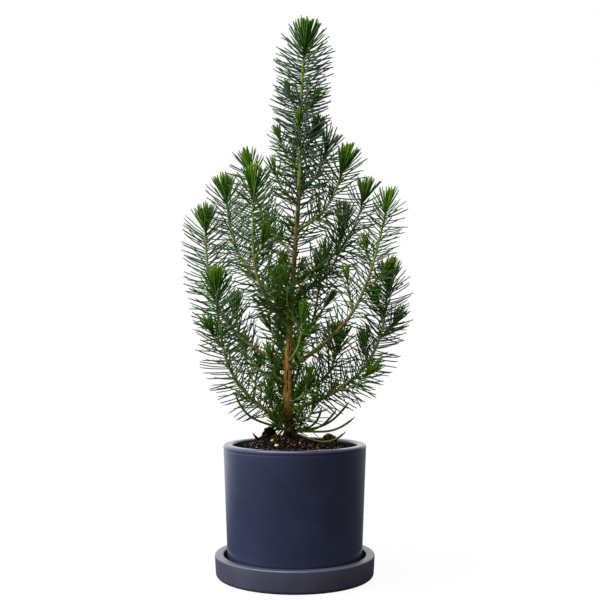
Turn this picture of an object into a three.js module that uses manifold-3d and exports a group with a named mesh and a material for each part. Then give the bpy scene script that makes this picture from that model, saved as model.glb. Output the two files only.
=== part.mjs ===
// Potted silver crest stone pine: a seedling in its juvenile needles, in a cylindrical pot on a saucer.
// Millimetres, +Z up, front towards -Y. The origin is the centre of the saucer's flat underside.
import * as THREE from "three";
import { mergeVertices } from "three/addons/utils/BufferGeometryUtils.js";
import Module from "manifold-3d";

const wasm = await Module();
wasm.setup();

// Clearances
const GAP = 0.3; // between pieces that touch
const APART = 0.42; // kept between a needle and anything it isn't rooted in

// Pot, saucer and soil: radii and heights
const SAUCER = {
  rim: 78.2,
  foot: 77,
  height: 22,
  wall: 8.5,
  floor: 7,
  round: 4, // at the outer foot
  lip: 1.5,
  cove: 2, // bevel between floor and wall
};
const POT = {
  rim: 70,
  shoulder: 69.2,
  foot: 65.4,
  top: 127.8,
  rimDepth: 5.6, // from the top down to the fine groove
  wall: 8.8,
  floor: 9,
  round: 2.4,
};
const GROOVE = 0.7; // depth and height of the fine groove under the pot's rim
const SOIL = {
  edge: 123, // height at the pot's wall
  crown: 134, // height of the level top
  level: 20, // radius of the level top
  shift: -12, // how far the top lies off the pot's axis, to the left
  steep: 1.3, // how much steeper the slope is near the top
  lumps: 0.7,
  rows: 3,
  play: 0.6, // between the soil and the pot's wall
};
const FACETS = { pot: 34, soil: 22 };

// Trunk
const TRUNK = {
  sides: 9,
  steps: 17,
  flare: 3.2,
  flareHeight: 14,
  lobe: 0.12,
  point: 1.2, // height of the pointed cap
  closer: 1.25, // how much closer the rings stand near the foot
  // height, place to the right, place towards the back, radius
  stations: [
    [134.3, -4.3, 0, 5.4],
    [175, -7.2, 0.6, 4.6],
    [235, -5.2, 1.2, 3.3],
    [300, -1.2, 0.6, 2.6],
    [375, 4, -0.4, 2.0],
    [450, 5.2, 0.2, 1.5],
    [505, 8.2, 0, 0.9],
  ],
};
const LEADER = {
  tip: [10.2, 0, 523],
  sides: 5,
  breaks: [276, 352, 430], // heights at which its sleeves start
  wall: 0.7, // least thickness of a sleeve round the trunk
  bore: 1.3, // how many gaps wide the sleeve's bore stands off the trunk
  notch: [12, 1.3], // cut for each limb that leaves the trunk: its length, and its width in limbs
  overTip: 1.6, // radius just above the trunk's tip
};

// Limbs, twigs and needles
const LIMB = {
  pull: 0.48, // how far a limb keeps its first and last slope, as a share of its span
  budRadius: 0.75,
  taper: 0.8,
  inLimb: 0.15, // share of a side twig that lies in its limb
  inTrunk: 0.02, // share of a shoot that its first ring lies along
  sides: 6,
  steps: 3,
};
const TWIG_SIDES = 3;
// How many rods of kept space stand for a stem
const RODS = { trunk: 20, sleeve: 14, bough: 6, limb: 12, shoot: 6, twig: 4, leaf: 8 };
const SEEDS = { shoot: 1, soil: 11, limb: 31, leader: 101 };
const NEEDLE = {
  length: 29, // mid shoot
  tuft: 20, // at the bud
  young: 19, // at the bare end
  lean: 63, // degrees off the twig, mid shoot
  tuftLean: 17, // degrees off the twig, at the bud
  tuftDepth: 27, // how far below the bud the needles start to close
  fill: 22, // how far above the bare end they reach full length
  band: 2.3, // height of the band that a whorl of needles grows from
  pitch: 5.2, // from whorl to whorl, mid shoot
  tuftPitch: 3.2, // from whorl to whorl, at the bud
  twist: 0.39, // from whorl to whorl, as a share of the angle from needle to needle
  scatter: 4, // degrees of stray lean
  sizes: [0.88, 1.12], // shortest and longest, as a share
  cuts: [1, 0.86, 0.72, 0.58], // lengths tried, as a share, until one is clear
};

// Main limbs: foot height and bearing on the trunk (degrees, 0 to the right, 90 to the back), reach and
// rise of the bud, slope at the foot and at the bud, radius at the foot, and the share left bare.
const LIMBS = {
  low_left: [146, 200, 74, 132, 30, 86, 2.3, 0.16],
  low_right: [160, 357, 97, 127, 18, 88, 2.3, 0.16],
  inner_right: [175, 40, 67, 52, 14, 80, 1.7, 0.18],
  inner_left: [184, 157, 56, 78, 24, 86, 1.8, 0.16],
  main_right: [201, 333, 104, 153, 30, 76, 2.4, 0.15],
  back_left: [205, 161, 88, 141, 22, 90, 1.9, 0.22],
  front_left: [245, 230, 53, 127, 26, 92, 2.0, 0.13],
  mid_left: [265, 160, 70, 111, 32, 84, 1.9, 0.16],
  back_right: [268, 44, 74, 84, 28, 84, 1.7, 0.2],
  upper_right: [285, 26, 81, 90, 32, 72, 1.8, 0.16],
  upper_left: [313, 152, 52, 90, 40, 74, 1.5, 0.16],
  crest_right: [336, 345, 48, 62, 28, 70, 1.4, 0.16],
  rear_low: [190, 96, 80, 100, 22, 84, 1.9, 0.18],
  rear_low_left: [168, 130, 70, 52, 12, 80, 1.7, 0.2],
  rear_low_right: [214, 64, 74, 92, 24, 84, 1.8, 0.2],
  rear_mid: [252, 112, 66, 96, 28, 84, 1.7, 0.18],
  rear_high: [318, 84, 46, 66, 34, 80, 1.4, 0.18],
};

// Side twigs of the limbs: share of the limb, roll about it (degrees, 0 level, 90 inwards), length.
const TWIGS = {
  low_left: [[0.66, -60, 20]],
  low_right: [[0.3, -150, 44], [0.52, 80, 20], [0.68, -60, 24], [0.8, 100, 18]],
  main_right: [[0.46, 105, 32], [0.6, -70, 28], [0.7, 80, 22]],
  back_left: [[0.6, 180, 24]],
  front_left: [[0.55, 20, 20]],
  back_right: [[0.55, 10, 22]],
  upper_right: [[0.45, 130, 18]],
  rear_low: [[0.5, 10, 24], [0.62, 190, 22]],
  rear_low_left: [[0.6, 170, 20]],
  rear_low_right: [[0.55, 180, 22]],
  rear_mid: [[0.55, 180, 22]],
};

// Short shoots, needled from the trunk out: the same sizes as a limb, with no bare share.
const SHOOTS = {
  foot_tuft: [143, 212, 15, 7, 6, 60, 1.0],
  foot_left: [151, 180, 19, 25, 16, 86, 1.1],
  foot_right: [149, 344, 24, 15, 10, 80, 1.1],
  foot_front: [168, 322, 25, 22, 20, 76, 1.1],
  foot_back: [160, 80, 24, 24, 10, 80, 1.1],
  low_left: [186, 228, 24, 28, 20, 84, 1.2],
  low_front: [207, 290, 40, 44, 26, 80, 1.3],
  mid_front: [250, 262, 26, 36, 36, 84, 1.2],
  left: [362, 212, 27, 31, 38, 72, 1.2],
  back: [383, 100, 27, 36, 40, 76, 1.1],
  right: [372, 28, 32, 50, 42, 74, 1.2],
  top_left: [396, 188, 20, 31, 44, 72, 1.1],
  top_front: [420, 268, 15, 18, 40, 70, 1.0],
  top_right: [415, 35, 18, 21, 40, 70, 1.0],
  crest_left: [458, 190, 11, 13, 40, 74, 0.9],
  crest_right: [450, 350, 14, 14, 40, 70, 0.9],
};

// Long seed leaves from a collar at the trunk's foot: bearing, reach, rise, slope at foot and tip.
const SEED_LEAVES = {
  collar: [137.6, 141.4],
  wall: 0.9,
  inCollar: 0.05, // share of a leaf at which it starts, inside the collar
  footRadius: 0.95,
  tipRadius: 0.35,
  sides: 4,
  steps: 6,
  rows: [
    [4, 31, 25, 8, 82],
    [358, 46, 23, 3, 55],
    [12, 60, 29, 7, 52],
    [350, 64, 16, 6, 42],
    [335, 59, 3, -12, 42],
    [196, 55, 39, 24, 70],
  ],
};

const FINISH = {
  glaze: { color: 0x343b4f, roughness: 0.45 },
  earth: { color: 0x2c2018, roughness: 1 },
  bark: { color: 0x8a6a3c, roughness: 0.9 },
  leaf: { color: 0x35573f, roughness: 0.6 },
};

const { clamp, degToRad, lerp, smoothstep } = THREE.MathUtils;
const vec = (x, y, z) => new THREE.Vector3(x, y, z);
const turned = (first, second, angle) =>
  first.clone().multiplyScalar(Math.cos(angle)).addScaledVector(second, Math.sin(angle));

// Seeded random numbers, the same every run.
function seeded(seed) {
  let state = seed >>> 0;
  return () => {
    state = (state + 0x6d2b79f5) >>> 0;
    let t = Math.imul(state ^ (state >>> 15), state | 1);
    t ^= t + Math.imul(t ^ (t >>> 7), t | 61);
    return ((t ^ (t >>> 14)) >>> 0) / 4294967296;
  };
}

// Geometry to solid and back
function toSolid(geometry) {
  const bare = geometry.clone().deleteAttribute("normal").deleteAttribute("uv");
  const merged = mergeVertices(bare, 1e-4);
  const mesh = {
    numProp: 3,
    vertProperties: new Float32Array(merged.attributes.position.array),
    triVerts: new Uint32Array(merged.index.array),
  };
  return new wasm.Manifold(new wasm.Mesh(mesh));
}

function toGeometry(solid) {
  const mesh = solid.getMesh();
  const geometry = new THREE.BufferGeometry();
  geometry.setAttribute("position", new THREE.Float32BufferAttribute(mesh.vertProperties, mesh.numProp));
  geometry.setIndex([...mesh.triVerts]);
  return geometry;
}

// The largest body of a solid, without the scraps that a cut may leave.
function mainBody(solid) {
  return solid.decompose().reduce((best, body) => (body.volume() > best.volume() ? body : best));
}

// Paths of the trunk and of the leader, which runs on past the trunk's tip
const uprightPath = (points) => new THREE.CatmullRomCurve3(points, false, "centripetal");
const trunkPoints = TRUNK.stations.map(([z, x, y]) => vec(x, y, z));
const trunkPath = uprightPath(trunkPoints);
const leaderPath = uprightPath([...trunkPoints.slice(0, -1), vec(...LEADER.tip)]);
const trunkTop = trunkPoints.at(-1).z;

// Share of an upright path's length at which it reaches a height.
function shareAt(path, height) {
  let low = 0;
  let high = 1;
  for (let i = 0; i < 30; i++) {
    const middle = (low + high) / 2;
    if (path.getPointAt(middle).z < height) low = middle;
    else high = middle;
  }
  return low;
}

const overSoil = SOIL.crown + GAP;
const trunkAt = (height) => trunkPath.getPointAt(shareAt(trunkPath, height));

function trunkRadius(height) {
  const rows = TRUNK.stations;
  const above = rows.findIndex(([z]) => z >= height);
  const i = above < 0 ? rows.length - 1 : Math.max(1, above);
  const share = clamp((height - rows[i - 1][0]) / (rows[i][0] - rows[i - 1][0]), 0, 1);
  const flare = Math.max(0, 1 - (height - rows[0][0]) / TRUNK.flareHeight);
  return lerp(rows[i - 1][3], rows[i][3], share) + TRUNK.flare * flare ** 2;
}

// A limb rises in one upright plane from the trunk's axis to its bud.
function limbPath(height, bearing, reach, rise, footSlope, budSlope) {
  const foot = trunkAt(height);
  const out = turned(vec(1, 0, 0), vec(0, 1, 0), degToRad(bearing));
  const at = (r, z) => foot.clone().addScaledVector(out, r).setZ(foot.z + z);
  const pull = LIMB.pull * Math.hypot(reach, rise);
  const [start, end] = [degToRad(footSlope), degToRad(budSlope)];
  return new THREE.CubicBezierCurve3(
    foot,
    at(pull * Math.cos(start), pull * Math.sin(start)),
    at(reach - pull * Math.cos(end), rise - pull * Math.sin(end)),
    at(reach, rise),
  );
}

// A side twig leaves its limb at half a right angle and turns upwards at its knee.
function twigPath(limb, share, roll, length) {
  const foot = limb.getPointAt(share);
  const along = limb.getTangentAt(share);
  const level = vec(0, 0, 1).cross(along).normalize();
  const inward = along.clone().cross(level);
  const start = along.clone().add(turned(level, inward, degToRad(roll))).normalize();
  const finish = start.clone().lerp(vec(0, 0, 1), 0.5).normalize();
  const knee = foot.clone().addScaledVector(start, length / 2);
  return new THREE.QuadraticBezierCurve3(foot, knee, knee.clone().addScaledVector(finish, length / 2));
}

// Frame across a path: the point, the way along, and two directions square to it.
function frameAt(path, share) {
  const at = path.getPointAt(clamp(share, 0, 1));
  const along = path.getTangentAt(clamp(share, 0, 1));
  const level = Math.abs(along.z) > 0.999 ? vec(0, 1, 0) : vec(0, 0, 1).cross(along);
  const first = level.addScaledVector(along, -level.dot(along)).normalize();
  return { at, along, first, second: along.clone().cross(first) };
}

// The bud's own needle carries on from the end of a path.
const budTip = (path) => path.getPointAt(1).addScaledVector(path.getTangentAt(1), NEEDLE.tuft);

const limbRadius = (foot) => (share) => lerp(foot, LIMB.budRadius, share ** LIMB.taper);

// Space kept: every stem and needle so far, as a tapered rod with its owner
const rods = [];

function addStemRods(owner, path, first, last, radius, count) {
  for (let i = 0; i < count; i++) {
    const [a, b] = [i, i + 1].map((step) => lerp(first, last, step / count));
    const [from, to] = [path.getPointAt(a), path.getPointAt(b)];
    rods.push({ owner, from, to, fromRadius: radius(a), toRadius: radius(b) });
  }
}

function addTwigRods(owner, path, first, radius, count) {
  addStemRods(owner, path, first, 1, radius, count);
  rods.push({ owner, from: path.getPointAt(1), to: budTip(path), fromRadius: radius(1), toRadius: 0 });
}

// Clear distance between two tapered rods.
function clearance(p, q) {
  const u = p.to.clone().sub(p.from);
  const v = q.to.clone().sub(q.from);
  const w = p.from.clone().sub(q.from);
  const [uu, uv, vv, uw, vw] = [u.dot(u), u.dot(v), v.dot(v), u.dot(w), v.dot(w)];
  const square = uu * vv - uv * uv;
  const guess = square > 1e-9 ? clamp((uv * vw - vv * uw) / square, 0, 1) : 0;
  const t = clamp((uv * guess + vw) / vv, 0, 1);
  const s = clamp((uv * t - uw) / uu, 0, 1);
  const apart = w.addScaledVector(u, s).addScaledVector(v, -t).length();
  return apart - lerp(p.fromRadius, p.toRadius, s) - lerp(q.fromRadius, q.toRadius, t);
}

function isFree(rod, ignored) {
  return rods.every((other) => {
    if (ignored.includes(other.owner)) return true;
    const reach = rod.from.distanceTo(rod.to) + other.from.distanceTo(other.to) + 6;
    return rod.from.distanceTo(other.from) > reach || clearance(rod, other) >= APART;
  });
}

// A closed skin over rings of points, capped at both ends. A quad that has a tip in `spikes`, by ring
// and side, is drawn out to it as a needle.
function skin(rings, footCap, topCap, spikes = new Map()) {
  const points = rings.flat();
  const count = rings[0].length;
  const faces = [];
  for (let i = 0; i < rings.length - 1; i++)
    for (let k = 0; k < count; k++) {
      const next = (k + 1) % count;
      const quad = [i * count + k, i * count + next, (i + 1) * count + next, (i + 1) * count + k];
      const tip = spikes.get(`${i},${k}`);
      const apex = tip ? points.push(tip) - 1 : 0;
      if (tip) quad.forEach((corner, j) => faces.push(corner, quad[(j + 1) % 4], apex));
      else faces.push(quad[0], quad[1], quad[2], quad[0], quad[2], quad[3]);
    }
  const foot = points.push(footCap) - 1;
  const top = points.push(topCap) - 1;
  const last = (rings.length - 1) * count;
  for (let k = 0; k < count; k++) {
    const next = (k + 1) % count;
    faces.push(next, k, foot, last + k, last + next, top);
  }
  const geometry = new THREE.BufferGeometry();
  geometry.setAttribute("position", new THREE.Float32BufferAttribute(points.flatMap((p) => p.toArray()), 3));
  geometry.setIndex(faces);
  return geometry;
}

function ringAt(path, share, radius, sides, turn) {
  const { at, first, second } = frameAt(path, share);
  const angles = Array.from({ length: sides }, (_, k) => turn + (2 * Math.PI * k) / sides);
  return angles.map((angle) => at.clone().addScaledVector(turned(first, second, angle), radius));
}

// A plain tapering limb from one share of a path to another.
function tube(path, from, to, radius, sides, steps) {
  const shares = Array.from({ length: steps + 1 }, (_, i) => lerp(from, to, i / steps));
  const rings = shares.map((share) => ringAt(path, share, radius(share), sides, 0));
  return toSolid(skin(rings, path.getPointAt(from), path.getPointAt(to)));
}

// Heights along a twig at which its whorls stand, closer together towards the bud.
function whorls(start, end, hasBud) {
  const lows = [];
  let low = end - NEEDLE.band - GAP;
  while (low > start + GAP) {
    lows.unshift(low);
    const open = hasBud ? smoothstep(end - low, 0, NEEDLE.tuftDepth) : 1;
    low -= lerp(NEEDLE.tuftPitch, NEEDLE.pitch, open);
  }
  return lows;
}

// A stem clothed in needles, from share `from` of its path to share `to`. It ends in a bud where it
// runs the whole way. A needle that comes too near anything but the stem it stands on is cut or left out.
function needledStem({ path, from, to = 1, radius, sides = TWIG_SIDES, owner, carrier, seed }) {
  const random = seeded(seed);
  const length = path.getLength();
  const hasBud = to === 1;
  const twist = (2 * Math.PI * NEEDLE.twist) / sides;
  const rings = [ringAt(path, from, radius(from), sides, 0)];
  const spikes = new Map();
  whorls(from * length, to * length, hasBud).forEach((low, i) => {
    const turn = twist * i;
    const ends = [low, low + NEEDLE.band].map((s) => s / length);
    rings.push(...ends.map((share) => ringAt(path, share, radius(share), sides, turn)));
    const share = (ends[0] + ends[1]) / 2;
    const { at, along, first, second } = frameAt(path, share);
    const open = hasBud ? smoothstep(to * length - low, 0, NEEDLE.tuftDepth) : 1;
    const full = smoothstep(low - from * length, 0, NEEDLE.fill);
    const size = lerp(NEEDLE.tuft, NEEDLE.length, open) * lerp(NEEDLE.young / NEEDLE.length, 1, full);
    for (let k = 0; k < sides; k++) {
      const out = turned(first, second, turn + (2 * Math.PI * (k + 0.5)) / sides);
      const stray = NEEDLE.scatter * open * (2 * random() - 1);
      const aim = turned(along, out, degToRad(lerp(NEEDLE.tuftLean, NEEDLE.lean, open) + stray));
      const reach = size * lerp(...NEEDLE.sizes, random());
      const root = at.clone().addScaledVector(out, radius(share) * Math.cos(Math.PI / sides));
      const thick = radius(share) * Math.sin(Math.PI / sides);
      const tries = NEEDLE.cuts.map((cut) => root.clone().addScaledVector(aim, reach * cut));
      const asRod = (tip) => ({ owner, from: root, to: tip, fromRadius: thick, toRadius: 0 });
      const tip = tries.find((end) => end.z > overSoil && isFree(asRod(end), [owner, carrier]));
      if (!tip) continue;
      rods.push(asRod(tip));
      spikes.set(`${rings.length - 2},${k}`, tip);
    }
  });
  if (!hasBud) rings.push(ringAt(path, to, radius(to), sides, twist * (rings.length / 2 - 1)));
  return toSolid(skin(rings, path.getPointAt(from), hasBud ? budTip(path) : path.getPointAt(to), spikes));
}

const group = new THREE.Group();

function addPiece(name, geometry, finish) {
  const flat = geometry.toNonIndexed();
  flat.computeVertexNormals();
  const mesh = new THREE.Mesh(flat, new THREE.MeshStandardMaterial({ ...finish, metalness: 0 }));
  mesh.name = name;
  group.add(mesh);
}

// Pot and saucer are turned from profiles of radius and height.
function lathe(profile, facets) {
  const points = profile.map(([r, z]) => new THREE.Vector2(r, z));
  return new THREE.LatheGeometry(points, facets).rotateX(Math.PI / 2);
}

// Part of a circle in a profile, from one angle to another.
function arc(r, z, radius, from, to, steps) {
  const angles = Array.from({ length: steps + 1 }, (_, i) => degToRad(lerp(from, to, i / steps)));
  return angles.map((angle) => [r + radius * Math.cos(angle), z + radius * Math.sin(angle)]);
}

function saucer() {
  const { rim, foot, height, wall, floor, round, lip, cove } = SAUCER;
  const inside = rim - wall;
  const profile = [
    [0, 0],
    ...arc(foot - round, round, round, -90, 0, 2),
    ...arc(rim - lip, height - lip, lip, 0, 90, 1),
    ...arc(inside + lip, height - lip, lip, 90, 180, 1),
    [inside, floor + cove],
    [inside - cove, floor],
    [0, floor],
  ];
  return lathe(profile, FACETS.pot);
}

const potBase = SAUCER.floor + GAP;
const potFloor = potBase + POT.floor;

function pot() {
  const { rim, shoulder, foot, top, rimDepth, wall, round } = POT;
  const rimFoot = top - rimDepth;
  const inside = rim - wall;
  const profile = [
    [0, potBase],
    ...arc(foot - round, potBase + round, round, -90, 0, 1),
    [shoulder, rimFoot - GROOVE],
    [shoulder - GROOVE, rimFoot],
    [rim, rimFoot + GROOVE],
    ...arc(rim - round, top - round, round, 0, 90, 2),
    ...arc(inside + round, top - round, round, 90, 180, 1),
    [foot - wall, potFloor],
    [0, potFloor],
  ];
  return lathe(profile, FACETS.pot);
}

// Inside radius of the pot at a height.
function potInside(height) {
  const share = (height - potFloor) / (POT.top - POT.round - potFloor);
  return lerp(POT.foot, POT.rim, share) - POT.wall;
}

// The soil fills the pot: a level top round the trunk, then a lumpy slope down to the wall.
function soil() {
  const { edge, crown, level, shift, steep, lumps, rows, play } = SOIL;
  const bottom = potFloor + GAP;
  const rim = potInside(edge) - play;
  const random = seeded(SEEDS.soil);
  const ring = (radius, height, x = 0, rough = 0) =>
    Array.from({ length: FACETS.soil }, (_, k) => {
      const angle = (2 * Math.PI * k) / FACETS.soil;
      const z = height + rough * (2 * random() - 1);
      return vec(x + radius * Math.cos(angle), radius * Math.sin(angle), z);
    });
  const slope = Array.from({ length: rows + 1 }, (_, i) => {
    const share = i / rows;
    const rough = share % 1 ? lumps : 0;
    return ring(lerp(rim, level, share), lerp(edge, crown, share ** steep), shift * share, rough);
  });
  return skin([ring(potInside(bottom) - play, bottom), ...slope], vec(0, 0, bottom), vec(shift, 0, crown));
}

// The trunk: lobed at the root flare, flat at ground level and pointed above. `grow` thickens it, for
// the solid that its neighbours are cut clear with.
function trunk(grow = 0) {
  const low = TRUNK.stations[0][0] - (grow ? 1 : 0);
  const high = trunkTop + grow;
  const rings = Array.from({ length: TRUNK.steps + 1 }, (_, i) => {
    const z = lerp(low, high, (i / TRUNK.steps) ** TRUNK.closer);
    const centre = trunkAt(z);
    const lobe = TRUNK.lobe * Math.max(0, 1 - (z - low) / TRUNK.flareHeight);
    return Array.from({ length: TRUNK.sides }, (_, k) => {
      const angle = (2 * Math.PI * k) / TRUNK.sides;
      const radius = (trunkRadius(z) + grow) * (1 + lobe * Math.cos(3 * angle));
      return vec(centre.x + radius * Math.cos(angle), centre.y + radius * Math.sin(angle), z);
    });
  });
  return skin(rings, trunkAt(low).setZ(low), trunkAt(high).setZ(high + TRUNK.point));
}

addPiece("saucer", saucer(), FINISH.glaze);
addPiece("pot", pot(), FINISH.glaze);
addPiece("soil", soil(), FINISH.earth);
addPiece("trunk", trunk(), FINISH.bark);
const trunkCut = toSolid(trunk(GAP));

// All stems take their space first, so that every needle keeps clear of them.
const trunkWidth = (share) => trunkRadius(trunkPath.getPointAt(share).z);
addStemRods("trunk", trunkPath, 0, 1, trunkWidth, RODS.trunk);

const limbs = Object.entries(LIMBS).map(([name, [height, bearing, reach, rise, foot, bud, thick, bare]]) => {
  const owner = `needles_${name}`;
  const path = limbPath(height, bearing, reach, rise, foot, bud);
  const radius = limbRadius(thick);
  addStemRods(`bough_${name}`, path, 0, bare, radius, RODS.bough);
  addTwigRods(owner, path, bare, radius, RODS.limb);
  const twigs = (TWIGS[name] ?? []).map(([share, roll, length], i) => {
    const twig = { owner: `${owner}/${i}`, path: twigPath(path, share, roll, length) };
    addTwigRods(twig.owner, twig.path, LIMB.inLimb, () => LIMB.budRadius, RODS.twig);
    return twig;
  });
  return { name, owner, path, radius, bare, twigs };
});

const shoots = Object.entries(SHOOTS).map(([name, [height, bearing, reach, rise, foot, bud, thick]]) => {
  const shoot = {
    owner: `shoot_${name}`,
    path: limbPath(height, bearing, reach, rise, foot, bud),
    radius: limbRadius(thick),
  };
  addTwigRods(shoot.owner, shoot.path, 0, shoot.radius, RODS.shoot);
  return shoot;
});

for (const { name, path, radius, bare } of limbs) {
  const bough = tube(path, 0, bare, radius, LIMB.sides, LIMB.steps).subtract(trunkCut);
  addPiece(`bough_${name}`, toGeometry(mainBody(bough)), FINISH.bark);
}

// The leader's needles stand on sleeves round the trunk, bored clear of it and of what leaves it.
function leaderRadius(share) {
  const z = leaderPath.getPointAt(clamp(share, 0, 1)).z;
  const overTip = lerp(LEADER.overTip, LIMB.budRadius, (z - trunkTop) / (LEADER.tip[2] - trunkTop));
  const sleeve = z > trunkTop ? overTip : trunkRadius(z) + LEADER.bore * GAP + LEADER.wall;
  return sleeve / Math.cos(Math.PI / LEADER.sides);
}

function leaderSleeve(index) {
  const owner = `leader_${index + 1}`;
  const nextBreak = LEADER.breaks[index + 1];
  const from = shareAt(leaderPath, LEADER.breaks[index]);
  const to = nextBreak ? shareAt(leaderPath, nextBreak - GAP) : 1;
  addStemRods(owner, leaderPath, from, to, leaderRadius, RODS.sleeve);
  const stem = { path: leaderPath, from, to, radius: leaderRadius, sides: LEADER.sides };
  let sleeve = needledStem({ ...stem, owner, carrier: "trunk", seed: SEEDS.leader + index });
  sleeve = sleeve.subtract(toSolid(trunk(LEADER.bore * GAP)));
  for (const { path, radius } of [...limbs, ...shoots]) {
    const [long, wide] = LEADER.notch;
    const width = (share) => wide * (radius(share) + GAP);
    sleeve = sleeve.subtract(tube(path, 0, Math.min(1, long / path.getLength()), width, 4, 1));
  }
  addPiece(owner, toGeometry(mainBody(sleeve)), FINISH.leaf);
}

for (let i = LEADER.breaks.length - 1; i >= 0; i--) leaderSleeve(i);

function seedLeaves() {
  const { collar, wall, inCollar, footRadius, tipRadius, sides, steps, rows } = SEED_LEAVES;
  const [low, high] = collar.map((height) => shareAt(trunkPath, height));
  const collarWidth = (share) => trunkWidth(share) + 2 * GAP + wall;
  let leaves = tube(trunkPath, low, high, collarWidth, TRUNK.sides, 1);
  for (const [bearing, reach, rise, footSlope, tipSlope] of rows) {
    const path = limbPath((collar[0] + collar[1]) / 2, bearing, reach, rise, footSlope, tipSlope);
    const radius = (share) => lerp(footRadius, tipRadius, share ** 2);
    addStemRods("seed_leaves", path, 2 * inCollar, 1, radius, RODS.leaf);
    leaves = leaves.add(tube(path, inCollar, 1, radius, sides, steps));
  }
  return mainBody(leaves.subtract(trunkCut));
}

addPiece("seed_leaves", toGeometry(seedLeaves()), FINISH.leaf);

shoots.forEach(({ owner, path, radius }, i) => {
  const shoot = needledStem({ path, from: LIMB.inTrunk, radius, owner, seed: SEEDS.shoot + i });
  addPiece(owner, toGeometry(mainBody(shoot.subtract(trunkCut))), FINISH.leaf);
});

limbs.forEach(({ owner, path, radius, bare, twigs }, i) => {
  const from = bare + GAP / path.getLength();
  let mass = needledStem({ path, from, radius, owner, seed: SEEDS.limb + 10 * i });
  twigs.forEach((twig, k) => {
    const seed = SEEDS.limb + 10 * i + k + 1;
    const side = needledStem({ ...twig, from: 0, radius: () => LIMB.budRadius, seed });
    mass = mass.add(side);
  });
  addPiece(owner, toGeometry(mainBody(mass)), FINISH.leaf);
});

export default group;
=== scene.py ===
"""A young stone pine in its pot, dressed for the studio round its packed solids.

The frame is the packed model's: +Z up, the pot's axis at the origin, the viewer at -Y. Sizes are in
millimetres until a mesh is made. Those that the solids share are the same here, but for the pot's rim and
its groove, which the glaze has a little higher.
"""

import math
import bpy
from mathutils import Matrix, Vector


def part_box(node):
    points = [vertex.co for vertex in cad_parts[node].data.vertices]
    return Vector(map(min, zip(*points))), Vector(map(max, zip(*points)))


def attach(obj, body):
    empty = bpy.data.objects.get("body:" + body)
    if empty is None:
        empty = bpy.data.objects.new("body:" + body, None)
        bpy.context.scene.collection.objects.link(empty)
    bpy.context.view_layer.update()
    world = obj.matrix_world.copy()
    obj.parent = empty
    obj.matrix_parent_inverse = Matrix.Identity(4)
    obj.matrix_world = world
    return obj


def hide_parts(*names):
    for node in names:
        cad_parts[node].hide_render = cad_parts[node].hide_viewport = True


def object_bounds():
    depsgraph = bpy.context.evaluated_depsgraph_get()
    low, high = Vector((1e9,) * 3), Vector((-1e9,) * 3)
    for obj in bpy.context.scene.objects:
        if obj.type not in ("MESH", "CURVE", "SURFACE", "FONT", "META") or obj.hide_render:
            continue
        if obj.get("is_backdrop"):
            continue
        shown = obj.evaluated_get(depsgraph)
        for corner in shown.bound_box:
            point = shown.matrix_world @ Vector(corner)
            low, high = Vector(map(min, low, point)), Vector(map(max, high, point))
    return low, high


bl_info = {
    "name": "Stone Pine Seedling",
    "version": (1, 0, 0),
    "blender": (4, 5, 0),
    "location": "View3D > Sidebar > Stone Pine",
    "description": "Bark, needles, potting mix and glaze for a potted stone pine seedling",
    "category": "Add Mesh",
}

from dataclasses import dataclass
from typing import Callable

import bpy
import numpy as np
from mathutils import Euler, Vector, noise
from mathutils.bvhtree import BVHTree
from mathutils.kdtree import KDTree

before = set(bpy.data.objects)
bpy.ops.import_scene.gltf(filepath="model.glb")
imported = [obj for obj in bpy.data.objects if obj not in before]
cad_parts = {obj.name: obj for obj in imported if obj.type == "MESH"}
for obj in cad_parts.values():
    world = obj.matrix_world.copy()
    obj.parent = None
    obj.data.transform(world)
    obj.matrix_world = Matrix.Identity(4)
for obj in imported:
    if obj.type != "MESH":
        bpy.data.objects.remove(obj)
CAD_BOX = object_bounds()

MM = 0.001
UP = np.array([0.0, 0.0, 1.0])
GOLDEN_ANGLE = math.radians(137.508)
GOLDEN_RATIO = 1.618
FULL_TURN = 2 * math.pi

# Pot, saucer and soil. The pot's heel is the rounding at its foot, and its shade line the height from the
# groove to where the rim starts to swell
SAUCER = {"rim": 78.2, "foot": 77, "height": 22, "wall": 8.5, "floor": 7, "round": 4, "lip": 1.5, "cove": 2}
POT = {"rim": 70, "shoulder": 69.2, "foot": 65.4, "top": 127.8, "band": 5.6, "wall": 8.8, "round": 2.4}
POT |= {"heel": 2, "shade_line": 1.6}
FLAT = {"saucer": 8, "pot": 12}  # width of the ring that ends a flat, so that it takes the light as one
GAP = 0.3  # between the saucer and the pot, and the pot and the soil
POT_BASE = SAUCER["floor"] + GAP
POT_FLOOR = POT_BASE + 9
GROOVE, GROOVE_ROUND = 0.7, 0.4
# How much higher the glaze has the rim and the groove, and how far it fills the groove
BEAD, GROOVE_LIFT, FILLING = 0.8, 2.0, 0.3
SOIL = {"edge": 123, "crown": 134, "level": 20, "shift": -12, "steep": 1.3, "play": 0.6}
# Lumps in the soil: width, the slice of noise that they are read from, roughness, octaves, height
LUMPS = ((11, 3.0, 1.0, 4, 2.2), (2.6, 9.0, 0.9, 3, 0.7))

# Trunk: height, place to the right, place towards the back, radius
TRUNK_STATIONS = [
    (134.3, -4.3, 0, 5.4),
    (175, -7.2, 0.6, 4.6),
    (235, -5.2, 1.2, 3.3),
    (300, -1.2, 0.6, 2.6),
    (375, 4, -0.4, 2.0),
    (450, 5.2, 0.2, 1.5),
    (505, 8.2, 0, 0.9),
]
FLARE = {"wider": 3.2, "height": 14, "lobe": 0.12}
# Long cracks in its front: two heights, and the place to the right of the axis
CRACKS = ((179, 188.2, 0.1), (190.4, 200.8, 0.1), (218, 229.5, 0.9))
# How dark the long cracks' faces are, as shares of the crevice colour: the cracks' own dark, deepened with
# painted shade
CRACK_PAINTED_SHADES = (0.25, 0.7)
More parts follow.
